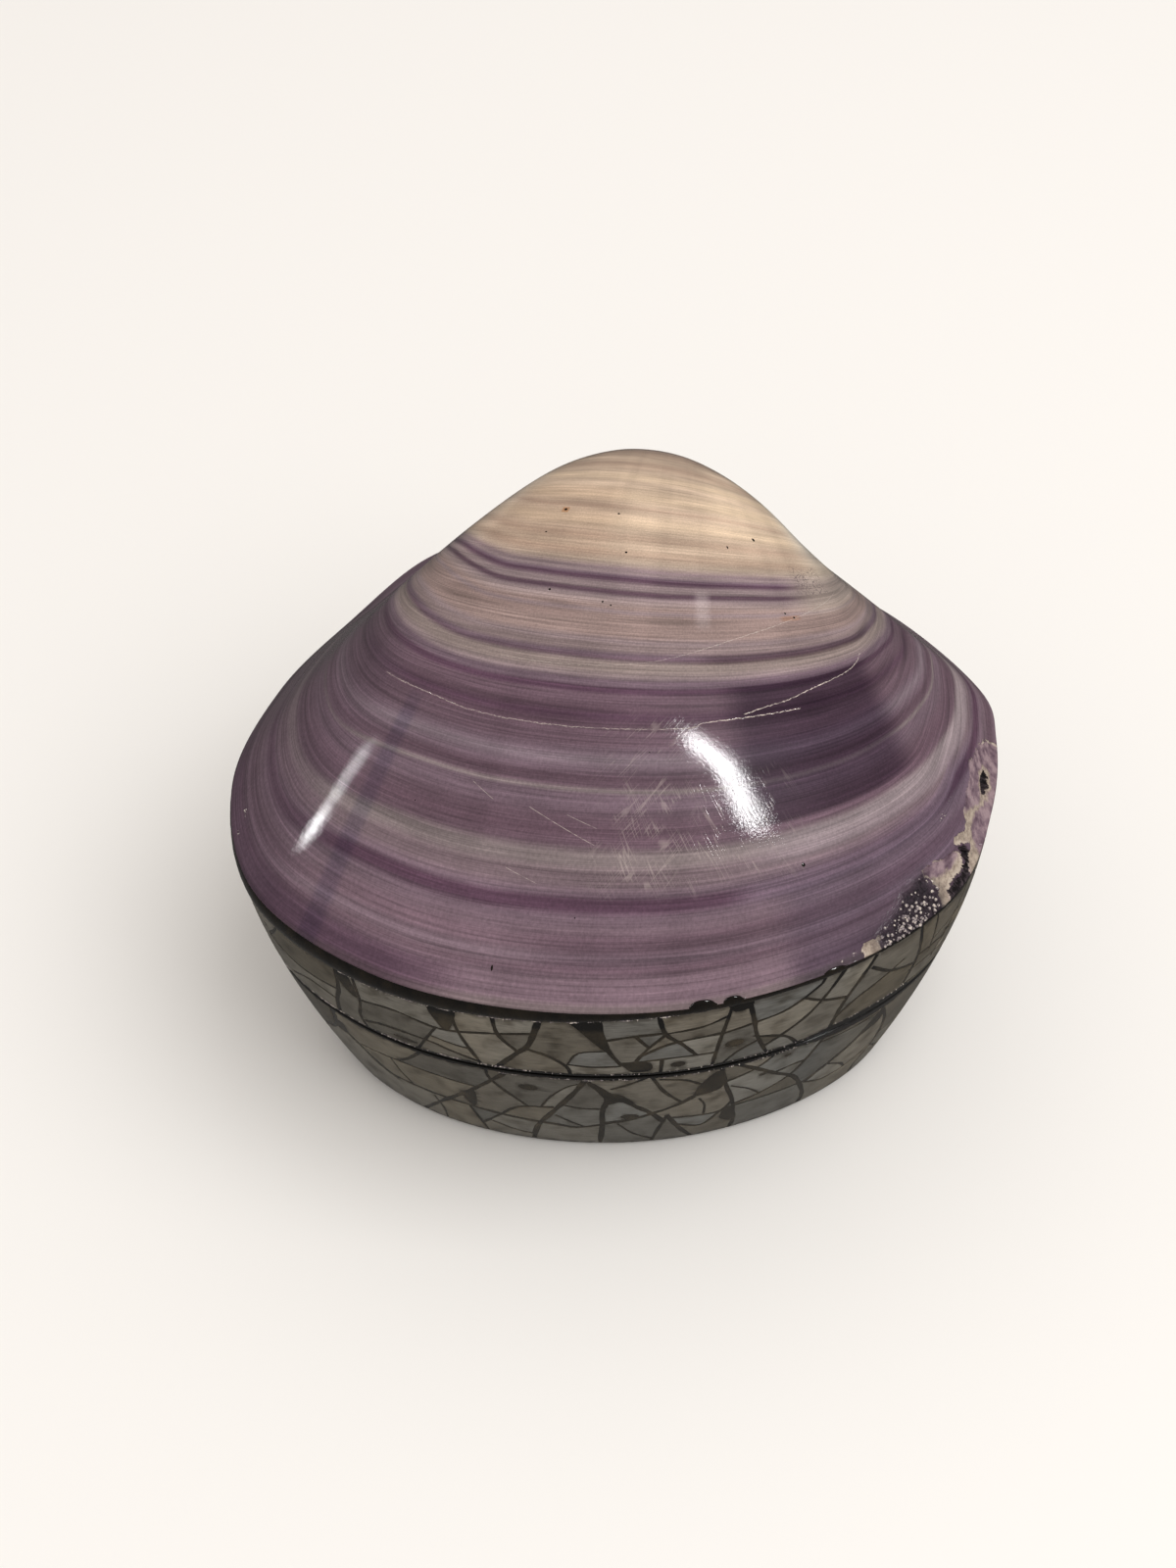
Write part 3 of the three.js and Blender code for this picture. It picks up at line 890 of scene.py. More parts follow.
def clamMaterial():
    material, tree, shader = newMaterial(
        "polishedClam", Roughness=polish["roughness"], Specular_IOR_Level=polish["specular"],
        Coat_Weight=polish["coat"], Coat_Roughness=polish["coatRoughness"])
    growth = put(tree, "ShaderNodeAttribute", attribute_name="growth").outputs["Vector"]
    parts = put(tree, "ShaderNodeSeparateXYZ", {0: growth}).outputs
    angle, turn, outside = parts["X"], parts["Y"], parts["Z"]
    place = stretched(tree, growth, (clam["millimetresPerDegree"], clam["millimetresPerTurn"], 0))
    band = bandPlace(tree, growth, angle, turn)
    colour = sectorColour(tree, bandColour(tree, band), angle, turn, band)
    colour = grainedColour(tree, colour, growth, turn)
    mottle = grain(tree, stretched(tree, place, (2.6, 1.6, 1)), detail=3, roughness=0.75)
    colour = shaded(tree, colour, mottle, 0.3, 0.7, 0.82, 1.2)
    scratches, hairs = clamScratches(tree, place, angle, turn), buffedHairs(tree, place, angle, turn)
    colour = scratchAndGlintColour(tree, colour, place, angle, turn, scratches, hairs)
    colour, broken = brokenColour(tree, colour, place, mottle)
    colour = blend(tree, outside, polish["hollowColour"], colour)
    tree.links.new(colour, shader.inputs["Base Color"])
    rough = fade(tree, broken, 0, 1, polish["roughness"], polish["brokenRoughness"])
    tree.links.new(rough, shader.inputs["Roughness"])
    coat = fade(tree, broken, 0, 1, polish["coat"], polish["brokenCoat"])
    tree.links.new(coat, shader.inputs["Coat Weight"])
    height = calc(tree, "MULTIPLY", hairs, polish["hairRelief"])
    height = calc(tree, "MULTIPLY_ADD", mottle, polish["mottleRelief"], height)
    height = calc(tree, "MULTIPLY_ADD", scratches, polish["scratchRelief"], height)
    crumbling = calc(tree, "MULTIPLY", broken, mottle)
    height = calc(tree, "MULTIPLY_ADD", crumbling, polish["brokenRelief"], height)
    addRelief(tree, shader, height, 1.0, 1.0, "Coat Normal")
    return material


clamShell = makeClam()
clamShell.data.materials.append(clamMaterial())
finishPiece(clamShell, "polished_shell", "shell_valve")
print("clam made")

# Resin walls, with the grout between the chips nearly flush
resin = {
    "lidBottom": boxForm["trayHeight"] + boxForm["partingGap"],
    "lidWall": 2.6,
    "trayWall": 4.2,
    "lipHeight": 2.4,
    "lipDepth": 2.9,
    "floorThickness": 2.6,
    "floorFillet": 2.0,
    "footChamfer": 0.8,
    "floorInset": 12,         # from the floor's corner to where its flat middle is closed
    "filletSteps": 5,
    "cornerSteps": 3,
    "groutDepth": 0.06,
    "cornerDepth": 0.03,
    "edgeRound": 0.12,
    # heights in metres between which the resin is black: by the parting line, partly painted shade of the
    # gap, and from the seam up
    "partingBlackAndShade": (0.0211, 0.0236),
    "blackSeam": (0.0326, 0.0336),
    "blackFade": 0.0005,
}


def loftWall(name, profile, capped):
    count = len(edgeRing)
    rings = [np.column_stack([wallRing(height, depth), np.full(count, height)]) for height, depth in profile]
    points = np.vstack(rings)
    faces = gridFaces(len(profile), count, around=True)
    last = (len(profile) - 1) * count
    if capped:
        points = np.vstack([points, rings[0].mean(0), rings[-1].mean(0)])
    for i in range(count):
        after = (i + 1) % count
        if capped:
            faces += [(len(points) - 2, after, i), (len(points) - 1, last + i, last + after)]
        else:
            faces.append((last + i, last + after, after, i))
    return makeMesh(name, points, faces)


def between(start, end, count):
    return [float(value) for value in np.linspace(start, end, count)]


def quarterTurn(steps):
    return [math.pi / 2 * step / steps for step in range(steps + 1)]


def roundedCorner(height, depth, radius):
    return [(height - radius * (1 - math.sin(angle)), depth + radius * (1 - math.cos(angle)))
            for angle in quarterTurn(resin["cornerSteps"])]


def makeTrayResin():
    r, top, grout = resin["edgeRound"], boxForm["trayHeight"], resin["groutDepth"]
    lipTop, inner, lip = top + resin["lipHeight"], resin["trayWall"], resin["lipDepth"]
    chamfer, floor, fillet = resin["footChamfer"], resin["floorThickness"], resin["floorFillet"]
    low = floor + fillet
    profile = [(0, chamfer + 0.1), (0.1, chamfer - 0.1), (chamfer, 0.02)]
    profile += [(height, grout) for height in between(1.0, top - 0.5, 18)]
    profile += roundedCorner(top, resin["cornerDepth"], r)
    profile += [(top, lip), (lipTop - r, lip), (lipTop, lip + r), (lipTop, inner - r), (lipTop - r, inner)]
    profile += [(height, inner) for height in between(lipTop - 1, low, 8)]
    profile += [(low - fillet * math.sin(angle), inner + fillet * (1 - math.cos(angle)))
                for angle in quarterTurn(resin["filletSteps"])[1:]]
    profile.append((floor, inner + resin["floorInset"]))
    return loftWall("tray_resin", profile, True)


def makeLidResin():
    r, bottom, grout = resin["edgeRound"], resin["lidBottom"], resin["groutDepth"]
    top, inner = seamHeight - 0.02, resin["lidWall"]
    profile = [(bottom, r), (bottom + r, resin["cornerDepth"])]
    profile += [(height, grout) for height in between(bottom + 0.4, top - 0.4, 14)]
    profile += [(top - r, 0.1), (top, 0.1 + r), (top, inner - r), (top - r, inner)]
    profile += [(height, inner) for height in between(top - 1, bottom + 1, 6)]
    profile += [(bottom + r, inner), (bottom, inner - r)]
    return loftWall("lid_resin", profile, False)


def resinMaterial():
    material, tree, shader = newMaterial("darkResin", Roughness=0.22, Coat_Weight=0.5, Coat_Roughness=0.08)
    place = put(tree, "ShaderNodeTexCoord").outputs["Object"]
    clouds = grain(tree, place, 260, 4, 0.6)
    colour = colourRamp(tree, clouds, ((0.3, "1b1710"), (0.55, "2d271d"), (0.8, "4a4131")))
    height = put(tree, "ShaderNodeSeparateXYZ", {0: place}).outputs["Z"]
    # painted shade: the resin by the parting line is painted nearly black, dark resin there darkened further
    # for the shade in the gap between lid and tray
    nearParting = bump(tree, height, *resin["partingBlackAndShade"], resin["blackFade"])
    nearSeam = fade(tree, height, *resin["blackSeam"])
    colour = blend(tree, calc(tree, "MAXIMUM", nearParting, nearSeam), colour, "0b0907")
    tree.links.new(colour, shader.inputs["Base Color"])
    addRelief(tree, shader, grain(tree, place, 900, 3), 0.25, 0.1)
    return material


darkResin = resinMaterial()
trayResin, lidResin = makeTrayResin(), makeLidResin()
for piece, node in ((trayResin, "box_body"), (lidResin, "lid_ring")):
    piece.data.materials.append(darkResin)
    finishPiece(piece, "dark_resin", node)
print("resin walls made")

# Shell chips in the wall. A crack is its width, then its places: how far along the wall from the middle
# of the front, and height
chips = {
    "crackWidth": 0.34,
    "bevel": 0.12,
    "thickness": 0.75,
    "sampleStep": 0.8,
    "surfaceStep": 1.3,
    "seed": 11,
    "crackSpacing": 4.2,
    "laidFrom": -36.5,       # between these two the cracks are listed, beyond them they grow at random
    "laidTo": 46.0,
    "trayBottom": 0.7,
    "trayTop": 21.9,
    "lidBottom": 22.75,
    "trayReach": (0.7, 21.9),  # heights that the grown cracks keep to
    "lidReach": (22.6, 35.4),
    # height of the black bead between the chips and the shell's edge, along the wall
    "beadHeight": ((-132, 1.3), (-90, 1.6), (-60, 2.3), (-45, 2.8), (-20, 2.75), (-8, 2.35), (0, 1.95),
                   (7, 1.4), (12, 1.05), (20, 0.8), (40, 0.6), (70, 0.8), (100, 1.1), (132, 1.3)),
    "widerCracks": 1.28,
    "triesPerCrack": 1.5,
    "widthSpread": (0.6, 1.5),
    "longestHalf": 40,       # steps of a grown crack to each side of where it starts
    "bendSpread": 0.035,
    "fewestPoints": 5,
    "leastArea": 0.12,
    "ovalSteps": 14,
    "voidStep": 0.7,
    "backGap": 0.15,
    "trayTopGap": 0.35,
    "lidBottomGap": 0.25,
    "ragged": {"trayTop": 0.28, "trayBottom": 0.15, "lidTop": 0.12, "lidBottom": 0.22},
    "endSteps": 26,
    "endWander": 3.4,
    # extra height of bare black resin on each side of the parting line, along the wall
    "wornParting": ((-132, 0), (-8, 0.05), (20, 0.1), (31, 0.2), (36, 0.8), (43, 0.9), (47, 0.35), (58, 0),
                    (132, 0)),
}
trayCracks = (
    (0.35, (-15.2, 22), (-17.5, 18.6), (-19.8, 16.3)),
    (0.3, (-25.8, 15.2), (-18, 16.4), (-9.3, 15.9)),
    (0.45, (-20.8, 0), (-14.5, 8.6), (-9.5, 15), (-4.4, 22)),
    (0.8, (-28.2, 22), (-28.6, 17.8), (-26.5, 14.8), (-24, 11), (-21.8, 9)),
    (0.5, (-28.6, 17.8), (-31, 15), (-34, 12.5), (-35.5, 7), (-36, 0)),
    (0.5, (-22.5, 9.8), (-17, 9.4), (-12, 9.1), (-6, 8.1), (0, 7.2), (3, 6.5), (6.3, 7.6)),
    (0.25, (-20.8, 16), (-20.3, 13), (-19.2, 9.6)),
    (0.25, (-16.3, 8.5), (-15.9, 4.5), (-16.5, 0)),
    (0.35, (-11.2, 9.2), (-10.4, 4.5), (-9.8, 0)),
    (0.35, (-10.2, 3.5), (-7, 7.9), (-4, 11.8), (0.5, 12.9)),
    (0.3, (-8.9, 5.2), (-5.5, 3.3), (-2.6, 2.6)),
    (0.55, (-3.4, 0), (-2.1, 6), (0, 10.8), (3, 17.3), (4.9, 22)),
    (0.35, (-7.2, 22), (-6.6, 18.6), (-2.7, 12.2)),
    (0.2, (-1.1, 12.8), (0.2, 16), (2.3, 19.2), (4, 20.4)),
    (0.35, (1.3, 13.9), (3.8, 13), (6.6, 12.9)),
    (0.25, (0.5, 10.4), (2.5, 8.2), (4, 6.8)),
    (0.5, (4.9, 21), (7, 16.3), (6.5, 12), (6.4, 7), (5.9, 0)),
    (0.6, (5.3, 20.3), (8.2, 16.6), (10.6, 13.6), (12.8, 10.8), (14.5, 7.6)),
    (0.35, (7.6, 18.9), (9.8, 20.2), (12.2, 22)),
    (0.35, (12.4, 22), (14.1, 17.4), (16.5, 13.4)),
    (0.35, (13.4, 21), (16.5, 20), (18.7, 18)),
    (0.45, (20.8, 22), (21.9, 16.3), (23.4, 10.8), (24.6, 3.5), (24.4, 0)),
    (0.6, (6.4, 8.0), (10.5, 9.4), (13.2, 11), (16, 12.8), (18, 14.8)),
    (0.25, (8.4, 7.9), (10.5, 4.2), (13.1, 1.8)),
    (0.4, (13, 0), (13.9, 5), (14.8, 9.5)),
    (0.6, (14.8, 9.8), (16.8, 4.6), (19.2, 0)),
    (0.4, (15.4, 8.7), (18.5, 8.1), (22, 8), (23.3, 10.5)),
    (0.35, (16.3, 6.1), (19.8, 4.4), (22, 7.8)),
    (0.25, (18.7, 13.8), (19.6, 11.4), (19.8, 8.1)),
    (0.5, (22.4, 22), (25.7, 18.8), (28.6, 15.7), (31.6, 12.7), (33.7, 8.5), (35.4, 3.7), (35.7, 0)),
    (0.35, (21.9, 17.4), (25.3, 19), (28, 22)),
    (0.2, (22.6, 15.7), (25.3, 13.3), (27, 11)),
    (0.35, (23.5, 9.4), (27.4, 10.9), (30.7, 13.2), (32.3, 16), (34.4, 22)),
    (0.4, (24, 8.9), (30.7, 9), (34.2, 8.9)),
    (0.35, (28.4, 16.1), (31.4, 16.7), (32.6, 16.4)),
    (0.3, (34, 20.2), (38.5, 20), (42.8, 20.2)),
    (0.8, (43.4, 20.4), (40.4, 15.2), (37, 11.6), (34.2, 8.6)),
    (0.4, (43.5, 20.2), (45.4, 15.2), (46.2, 9), (44.8, 4), (45.6, 0)),
    (0.35, (34.2, 8.6), (38, 6.4), (42, 6.8), (46, 9)),
    (0.3, (37, 11.6), (40, 9), (41.5, 6.8)),
)
lidCracks = (
    (0.5, (-24.2, 36), (-24.7, 30), (-25.9, 26), (-26.5, 22.4)),
    (0.3, (-22.2, 36), (-21.8, 29.6), (-22.6, 25.5), (-22.2, 22.4)),
    (0.35, (-21.9, 29.5), (-17, 30.6), (-11.7, 29.6), (-6, 30.8), (-1.2, 31.9)),
    (0.35, (-22.2, 24.5), (-18.9, 25.8), (-13.9, 25.9), (-11, 24.8), (-7.5, 23.4)),
    (0.3, (-15.5, 22.4), (-13.8, 26.2), (-12.2, 29.6)),
    (0.5, (-12.6, 36), (-12.4, 33), (-11, 29.8)),
    (0.35, (-9.9, 36), (-9.6, 30.4), (-7.3, 22.4)),
    (0.4, (-5.4, 36), (-4.9, 31), (-2.8, 27.4)),
    (0.55, (0.1, 36), (-1.5, 29.4), (-2.9, 27.2), (-5.9, 22.4)),
    (0.25, (-13.2, 27.4), (-10.5, 26.6), (-8.2, 26.3)),
    (0.3, (-36.5, 29.8), (-34, 33.2), (-33.3, 36)),
    (0.3, (-34, 24.6), (-30, 26.8), (-25.8, 26.4)),
    (0.25, (-36.5, 29.8), (-31, 28.6), (-25, 29.2)),
    (0.4, (-1.7, 28.3), (0.5, 27.2), (2.6, 24.8), (3, 22.4)),
    (0.2, (2.6, 25.2), (4, 28.2), (7.2, 28.8)),
    (0.3, (2.7, 25.4), (5.5, 24.9), (8.8, 25.1)),
    (0.4, (6.2, 36), (7.3, 29.2), (8.9, 25.2)),
    (0.35, (7.2, 31.2), (10, 31.9), (13.4, 32.2)),
    (0.3, (10.5, 31.7), (11.9, 29.2)),
    (0.35, (13.6, 31.7), (11.8, 29), (10.5, 26.2)),
    (0.4, (12.8, 36), (13.7, 32), (15.6, 29.4), (17.5, 26.2)),
    (0.3, (8.8, 25.8), (14.7, 26.3), (19.6, 26.2)),
    (0.35, (10.8, 27.2), (13.5, 29.3), (16.2, 30.2), (20.2, 30.5)),
    (0.3, (13.4, 32), (17.7, 32.6), (20.6, 33.9)),
    (0.35, (21, 36), (20, 29), (19.4, 22.4)),
    (0.3, (13.5, 26.3), (13.4, 22.4)),
    (0.4, (22.9, 36), (23.8, 31.5), (24.5, 27.8), (26.4, 22.4)),
    (0.35, (20.1, 30.3), (24, 31.2), (27.8, 32.1), (31.6, 35), (32, 36)),
    (0.35, (24, 28.1), (28.2, 25.7), (30.4, 22.4)),
    (0.25, (20.4, 22.4), (22.3, 25.2), (24.9, 27)),
    (0.4, (34.4, 36), (32, 31.4), (29.8, 28.3), (25.6, 24.8)),
    (0.35, (29.6, 33.3), (32.2, 31.3), (35.4, 29.8)),
    (0.4, (38.6, 36), (35.4, 29), (34.2, 22.4)),
    (0.35, (38.2, 33.8), (41.6, 30.5), (46, 28.2)),
    (0.35, (43.4, 31.4), (37, 28.1), (34.3, 25)),
    (0.35, (45.2, 36), (46, 29.6), (45, 22.4)),
)
# Patches of bare resin between the chips, and dark ovals: place, height, half width, half height
trayVoids = (
    ((17.7, 14.7), (18.6, 18.2), (20.6, 21), (21.6, 16.5), (20, 15)),
    ((7, 17.2), (8.6, 17.4), (10.6, 14.4), (8.6, 15), (7.1, 14.2)),
    ((-11.6, 13.2), (-9.6, 14.4), (-9.7, 11), (-10.4, 9.2), (-11.2, 10.5)),
    ((-29.2, 19), (-27.6, 19), (-27.6, 16), (-29.8, 16.4)),
    ((42.6, 20), (44, 19.6), (43.6, 16.8), (41.4, 15.6), (38, 12.4), (36, 10.6), (38.4, 11.8), (41, 14.6)),
    ((22.6, 9), (24, 8.6), (24.4, 3.8), (22.4, 5.4)),
)
lidVoids = (
    ((-13, 34.9), (-11, 34.7), (-9.6, 34.9), (-9.7, 32.4), (-10.9, 29.4), (-11.9, 32.2)),
    ((-24.6, 34.6), (-23.4, 34.8), (-22.4, 33), (-22.1, 29.6), (-23.4, 30.4), (-24.2, 31.8)),
    ((2.6, 35.2), (4.8, 35), (6.6, 35.2), (6.9, 32), (7.6, 28.2), (6, 30.2), (4.2, 33.2)),
    ((8.7, 25.6), (11.6, 26), (12.4, 25), (12.2, 23.6), (10.2, 23.4), (9.4, 24.4)),
    ((20.4, 36), (21.4, 34.4), (23, 34.6), (23.4, 36)),
)
traySpots = ((-2.3, 18.3, 1.2, 0.8), (10, 10.2, 1.2, 0.8), (26.7, 16.7, 0.5, 0.4), (29.5, 20.1, 0.45, 0.4))
lidSpots = ((21.8, 27.5, 1.15, 0.85), (15.4, 24.6, 0.9, 0.7), (-16.8, 24.2, 1.6, 0.35))


def smoothLine(places, step):
    places = np.array(places, float)
    ends = np.vstack([2 * places[0] - places[1], places, 2 * places[-1] - places[-2]])
    line = []
    for before, start, end, after in zip(ends, ends[1:], ends[2:], ends[3:]):
        count = max(1, round(float(np.linalg.norm(end - start)) / step))
        line += [curvePoint(before, start, end, after, t) for t in np.arange(count) / count]
    line.append(places[-1])
    return np.array(line)


def crosses(a, b, segments):  # does the step from a to b cross any segment
    if not len(segments):
        return False
    start, side = segments[:, :2], segments[:, 2:] - segments[:, :2]
    step = b - a
    scale = side[:, 0] * step[1] - side[:, 1] * step[0]
    scale[scale == 0] = 1e-12
    away = a - start
    onSegment = (away[:, 0] * step[1] - away[:, 1] * step[0]) / scale
    onStep = (away[:, 0] * side[:, 1] - away[:, 1] * side[:, 0]) / scale
    return bool(((onSegment >= 0) & (onSegment <= 1) & (onStep >= 0) & (onStep <= 1)).any())


def crackHalf(place, angle, bend, box, segments):  # steps on until it meets a crack or leaves the box
    left, right, bottom, top = box
    half = [place]
    for step in range(chips["longestHalf"]):
        angle += bend
        following = place + chips["sampleStep"] * np.array([math.cos(angle), math.sin(angle)])
        half.append(following)
        inside = left < following[0] < right and bottom < following[1] < top
        if not inside or crosses(place, following, segments):
            break
        place = following
    return half


def grownCracks(rng, box, laid):
    left, right, bottom, top = box
    segments = [np.concatenate([a, b]) for line in laid for a, b in zip(line, line[1:])]
    cracks = []
    share = chips["triesPerCrack"]
    for attempt in range(int((right - left) * (top - bottom) / chips["crackSpacing"] ** 2 * share)):
        start = np.array([rng.uniform(left, right), rng.uniform(bottom, top)])
        heading = rng.uniform(0, math.pi)
        laidNow = np.array(segments)
        back, forth = (crackHalf(start, heading + way, rng.normal(0, chips["bendSpread"]), box, laidNow)
                       for way in (0, math.pi))
        line = np.array(back[::-1] + forth[1:])
        if len(line) > chips["fewestPoints"]:
            cracks.append(line)
            segments += [np.concatenate([a, b]) for a, b in zip(line, line[1:])]
    return cracks


def ribbon(line, halfWidth, seedValue):  # a crack's outline, a little uneven
    side = np.gradient(line, axis=0)
    normal = np.stack([-side[:, 1], side[:, 0]], -1)
    normal /= np.linalg.norm(normal, axis=1, keepdims=True)
    uneven = np.array([noise.noise(Vector((x * 0.6, y * 0.6, seedValue))) for x, y in line])
    width = (halfWidth * (1 + 0.45 * uneven))[:, None]
    return np.vstack([line + normal * width, (line - normal * width)[::-1]])


def beadHeightAt(along):
    places, heights = np.array(chips["beadHeight"]).T
    return np.interp((along + perimeter / 2) % perimeter - perimeter / 2, places, heights)


def wornPartingAt(along):
    places, heights = np.array(chips["wornParting"]).T
    return np.interp(along, places, heights)


def bandOutline(start, end, lower, upper):  # its two ends meet behind the box in one wandering crack
    along = np.arange(start, end, chips["sampleStep"] / 2)
    rise = np.linspace(lower(along[:1])[0], upper(along[:1])[0], chips["endSteps"])[1:-1]
    wander = np.array([noise.noise(Vector((0.21 * height, 4.4, 1.0))) for height in rise])
    wander *= chips["endWander"]
    lowEdge = np.column_stack([along, lower(along)])
    highEdge = np.column_stack([along, upper(along)])[::-1]
    rightEnd = np.column_stack([end + wander, rise])
    leftEnd = np.column_stack([start + wander, rise])[::-1]
    return np.vstack([lowEdge, rightEnd, highEdge, leftEnd])


def raggedEdge(base, amount, seedValue):
    def edge(along):
        rough = [noise.fractal(Vector((x * 1.4, seedValue, 0)), 0.7, 2.2, 4) for x in along]
        return base(along) + amount * np.array(rough)
    return edge


def bandTriangles(outline, lines, voids, bottom, top):
    points, loops = [], []

    def addLoop(loop):  # the triangulation wants every loop to run to the left
        loop = np.asarray(loop)
        x, y = loop.T
        if x @ np.roll(y, -1) < y @ np.roll(x, -1):
            loop = loop[::-1]
        loops.append(list(range(len(points), len(points) + len(loop))))
        points.extend(Vector((float(x), float(y))) for x, y in loop)

    addLoop(outline)
    for wide in (False, True):  # each crack is cut twice, for the gap and for the bevel beside it
        extra = chips["bevel"] if wide else 0
        for index, (line, halfWidth) in enumerate(lines):
            addLoop(ribbon(line, halfWidth + extra, index * 1.7))
    firstVoid = len(loops)
    for corners in voids:
        addLoop(corners)
    low, high = outline[:, 0].min(), outline[:, 0].max()
    step = chips["surfaceStep"]
    for i, x in enumerate(np.arange(low + step, high - step / 2, step)):
        for y in np.arange(bottom + step * (0.6 + 0.5 * (i % 2)), top - step / 2, step):
            points.append(Vector((float(x), float(y))))
    found = geometry.delaunay_2d_cdt(points, [], loops, 0, 1e-5, True)
    places, triangles, owners = found[0], found[2], found[5]
    gaps = set(range(1, 1 + len(lines))) | set(range(firstVoid, len(loops)))
    kept = [tuple(face) for face, owner in zip(triangles, owners) if 0 in owner and not gaps & set(owner)]
    return np.array([tuple(place) for place in places]), kept


def islandsOf(triangles):  # groups of triangles that hang together by their sides
    parent = {}

    def find(i):
        while parent.setdefault(i, i) != i:
            parent[i] = parent[parent[i]]
            i = parent[i]
        return i

    edgeOwner = {}
    for index, face in enumerate(triangles):
        for a, b in zip(face, face[1:] + face[:1]):
            key = (min(a, b), max(a, b))
            if key in edgeOwner:
                parent[find(index)] = find(edgeOwner[key])
            else:
                edgeOwner[key] = index
    groups = {}
    for index in range(len(triangles)):
        groups.setdefault(find(index), []).append(triangles[index])
    return list(groups.values())


def plateArea(places, group):
    return sum(abs(np.cross(places[b] - places[a], places[c] - places[a])) for a, b, c in group) / 2


def plateBorder(group):  # the sides that no second face has
    sides = dict.fromkeys((a, b) for face in group for a, b in zip(face, face[1:] + face[:1]))
    return [side for side in sides if side[::-1] not in sides]


def chipPlates(name, places, triangles, rng):
    points, depths, tones, faces = [], [], [], []
    bevelled = resin["groutDepth"] * 0.8
    for group in islandsOf(triangles):
        if plateArea(places, group) < chips["leastArea"]:
            continue
        used = sorted({i for face in group for i in face})
        border = plateBorder(group)
        onBorder = {i for edge in border for i in edge}
        top = {i: len(points) + n for n, i in enumerate(used)}
        low = {i: len(points) + len(used) + n for n, i in enumerate(used)}
        tone = rng.random(3)
        for depth in (0.0, chips["thickness"]):
            points += [places[i] for i in used]
            depths += [depth if depth or i not in onBorder else bevelled for i in used]
            tones += [(*tone[:2], 1.0 if i in onBorder else 0.0) for i in used]
        for a, b, c in group:
            faces += [(top[a], top[b], top[c]), (low[a], low[c], low[b])]
        faces += [(top[b], top[a], low[a], low[b]) for a, b in border]
    points, depths = np.array(points), np.array(depths)
    piece = makeMesh(name, wallPoint(points[:, 0], points[:, 1], depths), faces, False)
    addAttribute(piece.data, "chipTone", tones, "FLOAT_VECTOR")
    addAttribute(piece.data, "chipPlace", np.column_stack([points, depths]), "FLOAT_VECTOR")
    return piece


def makeChips(name, cracks, voids, ovals, lower, upper, bottom, top, seed):
    rng = np.random.default_rng(seed)
    laid = [smoothLine(places, chips["sampleStep"]) for width, *places in cracks]
    back = perimeter / 2 - chips["backGap"]
    grown = grownCracks(rng, (-back, chips["laidFrom"], bottom, top), laid)
    grown += grownCracks(rng, (chips["laidTo"], back, bottom, top), laid + grown)
    half = chips["crackWidth"] / 2
    lines = [(line, crack[0] / 2 * chips["widerCracks"]) for line, crack in zip(laid, cracks)]
    lines += [(line, half * rng.uniform(*chips["widthSpread"])) for line in grown]
    rounded = [smoothLine((*corners, corners[0]), chips["voidStep"])[:-1] for corners in voids]
    turns = np.linspace(0, 2 * math.pi, chips["ovalSteps"], endpoint=False)
    rounded += [np.column_stack([x + a * np.cos(turns), y + b * np.sin(turns)]) for x, y, a, b in ovals]
    outline = bandOutline(-back, back, lower, upper)
    places, triangles = bandTriangles(outline, lines, rounded, bottom, top)
    return chipPlates(name, places, triangles, rng)


# Chip colours: the hues from warm to cool, then each grain's dark and pale tint
chipHues = ((0.0, "676052"), (0.3, "6d675c"), (0.55, "6f6c65"), (0.8, "6e6e6b"), (1.0, "6b7071"))
chipTints = (("b0aea9", (1.32, 1.31, 1.27, 1)), ("bdb8af", (1.16, 1.17, 1.18, 1)))


def chipMaterial():
    material, tree, shader = newMaterial("shellChips", Roughness=0.33, Coat_Weight=0.5, Coat_Roughness=0.12)
    tone = put(tree, "ShaderNodeAttribute", attribute_name="chipTone").outputs["Vector"]
    parts = put(tree, "ShaderNodeSeparateXYZ", {0: tone}).outputs
    place = put(tree, "ShaderNodeAttribute", attribute_name="chipPlace").outputs["Vector"]
    along = put(tree, "ShaderNodeSeparateXYZ", {0: place}).outputs["X"]
    hue = calc(tree, "MULTIPLY_ADD", bump(tree, along, 0, 30, 16), 0.25, -0.05)
    hue = calc(tree, "MULTIPLY_ADD", parts["X"], 0.6, hue)
    shade = fade(tree, parts["Y"], 0, 1, 0.62, 1.16)
    grey = put(tree, "ShaderNodeCombineColor", {0: shade, 1: shade, 2: shade}).outputs["Color"]
    colour = blend(tree, 1.0, colourRamp(tree, hue, chipHues), grey, "MULTIPLY")
    turned = put(tree, "ShaderNodeVectorMath", {0: tone, 1: (30, 50, 0)}, operation="MULTIPLY").outputs[0]
    shifted = put(tree, "ShaderNodeVectorMath", {0: place, 1: turned}, operation="ADD").outputs[0]
    lines = grain(tree, stretched(tree, shifted, (0.35, 4, 1)), detail=5, roughness=0.7)
    cloud = grain(tree, shifted, 0.35, 3)
    for source, (low, high) in zip((lines, cloud), chipTints):
        tint = colourRamp(tree, source, ((0.28, low), (0.5, "ffffff"), (0.75, high)))
        colour = blend(tree, 1.0, colour, tint, "MULTIPLY")
    # painted light: the chips towards the right of the wall are painted paler and warmer, for the beige
    # highlight that falls there
    paler = calc(tree, "MULTIPLY", bump(tree, along, 40, 62, 7), 0.5)
    colour = blend(tree, paler, colour, (1.5, 1.42, 1.3, 1), "MULTIPLY")
    edge = calc(tree, "MULTIPLY", fade(tree, parts["Z"], 0.2, 1.0), 0.62)
    tree.links.new(blend(tree, edge, colour, "332d25"), shader.inputs["Base Color"])
    addRelief(tree, shader, calc(tree, "ADD", lines, calc(tree, "MULTIPLY", cloud, 2)), 0.2, 0.15)
    return material


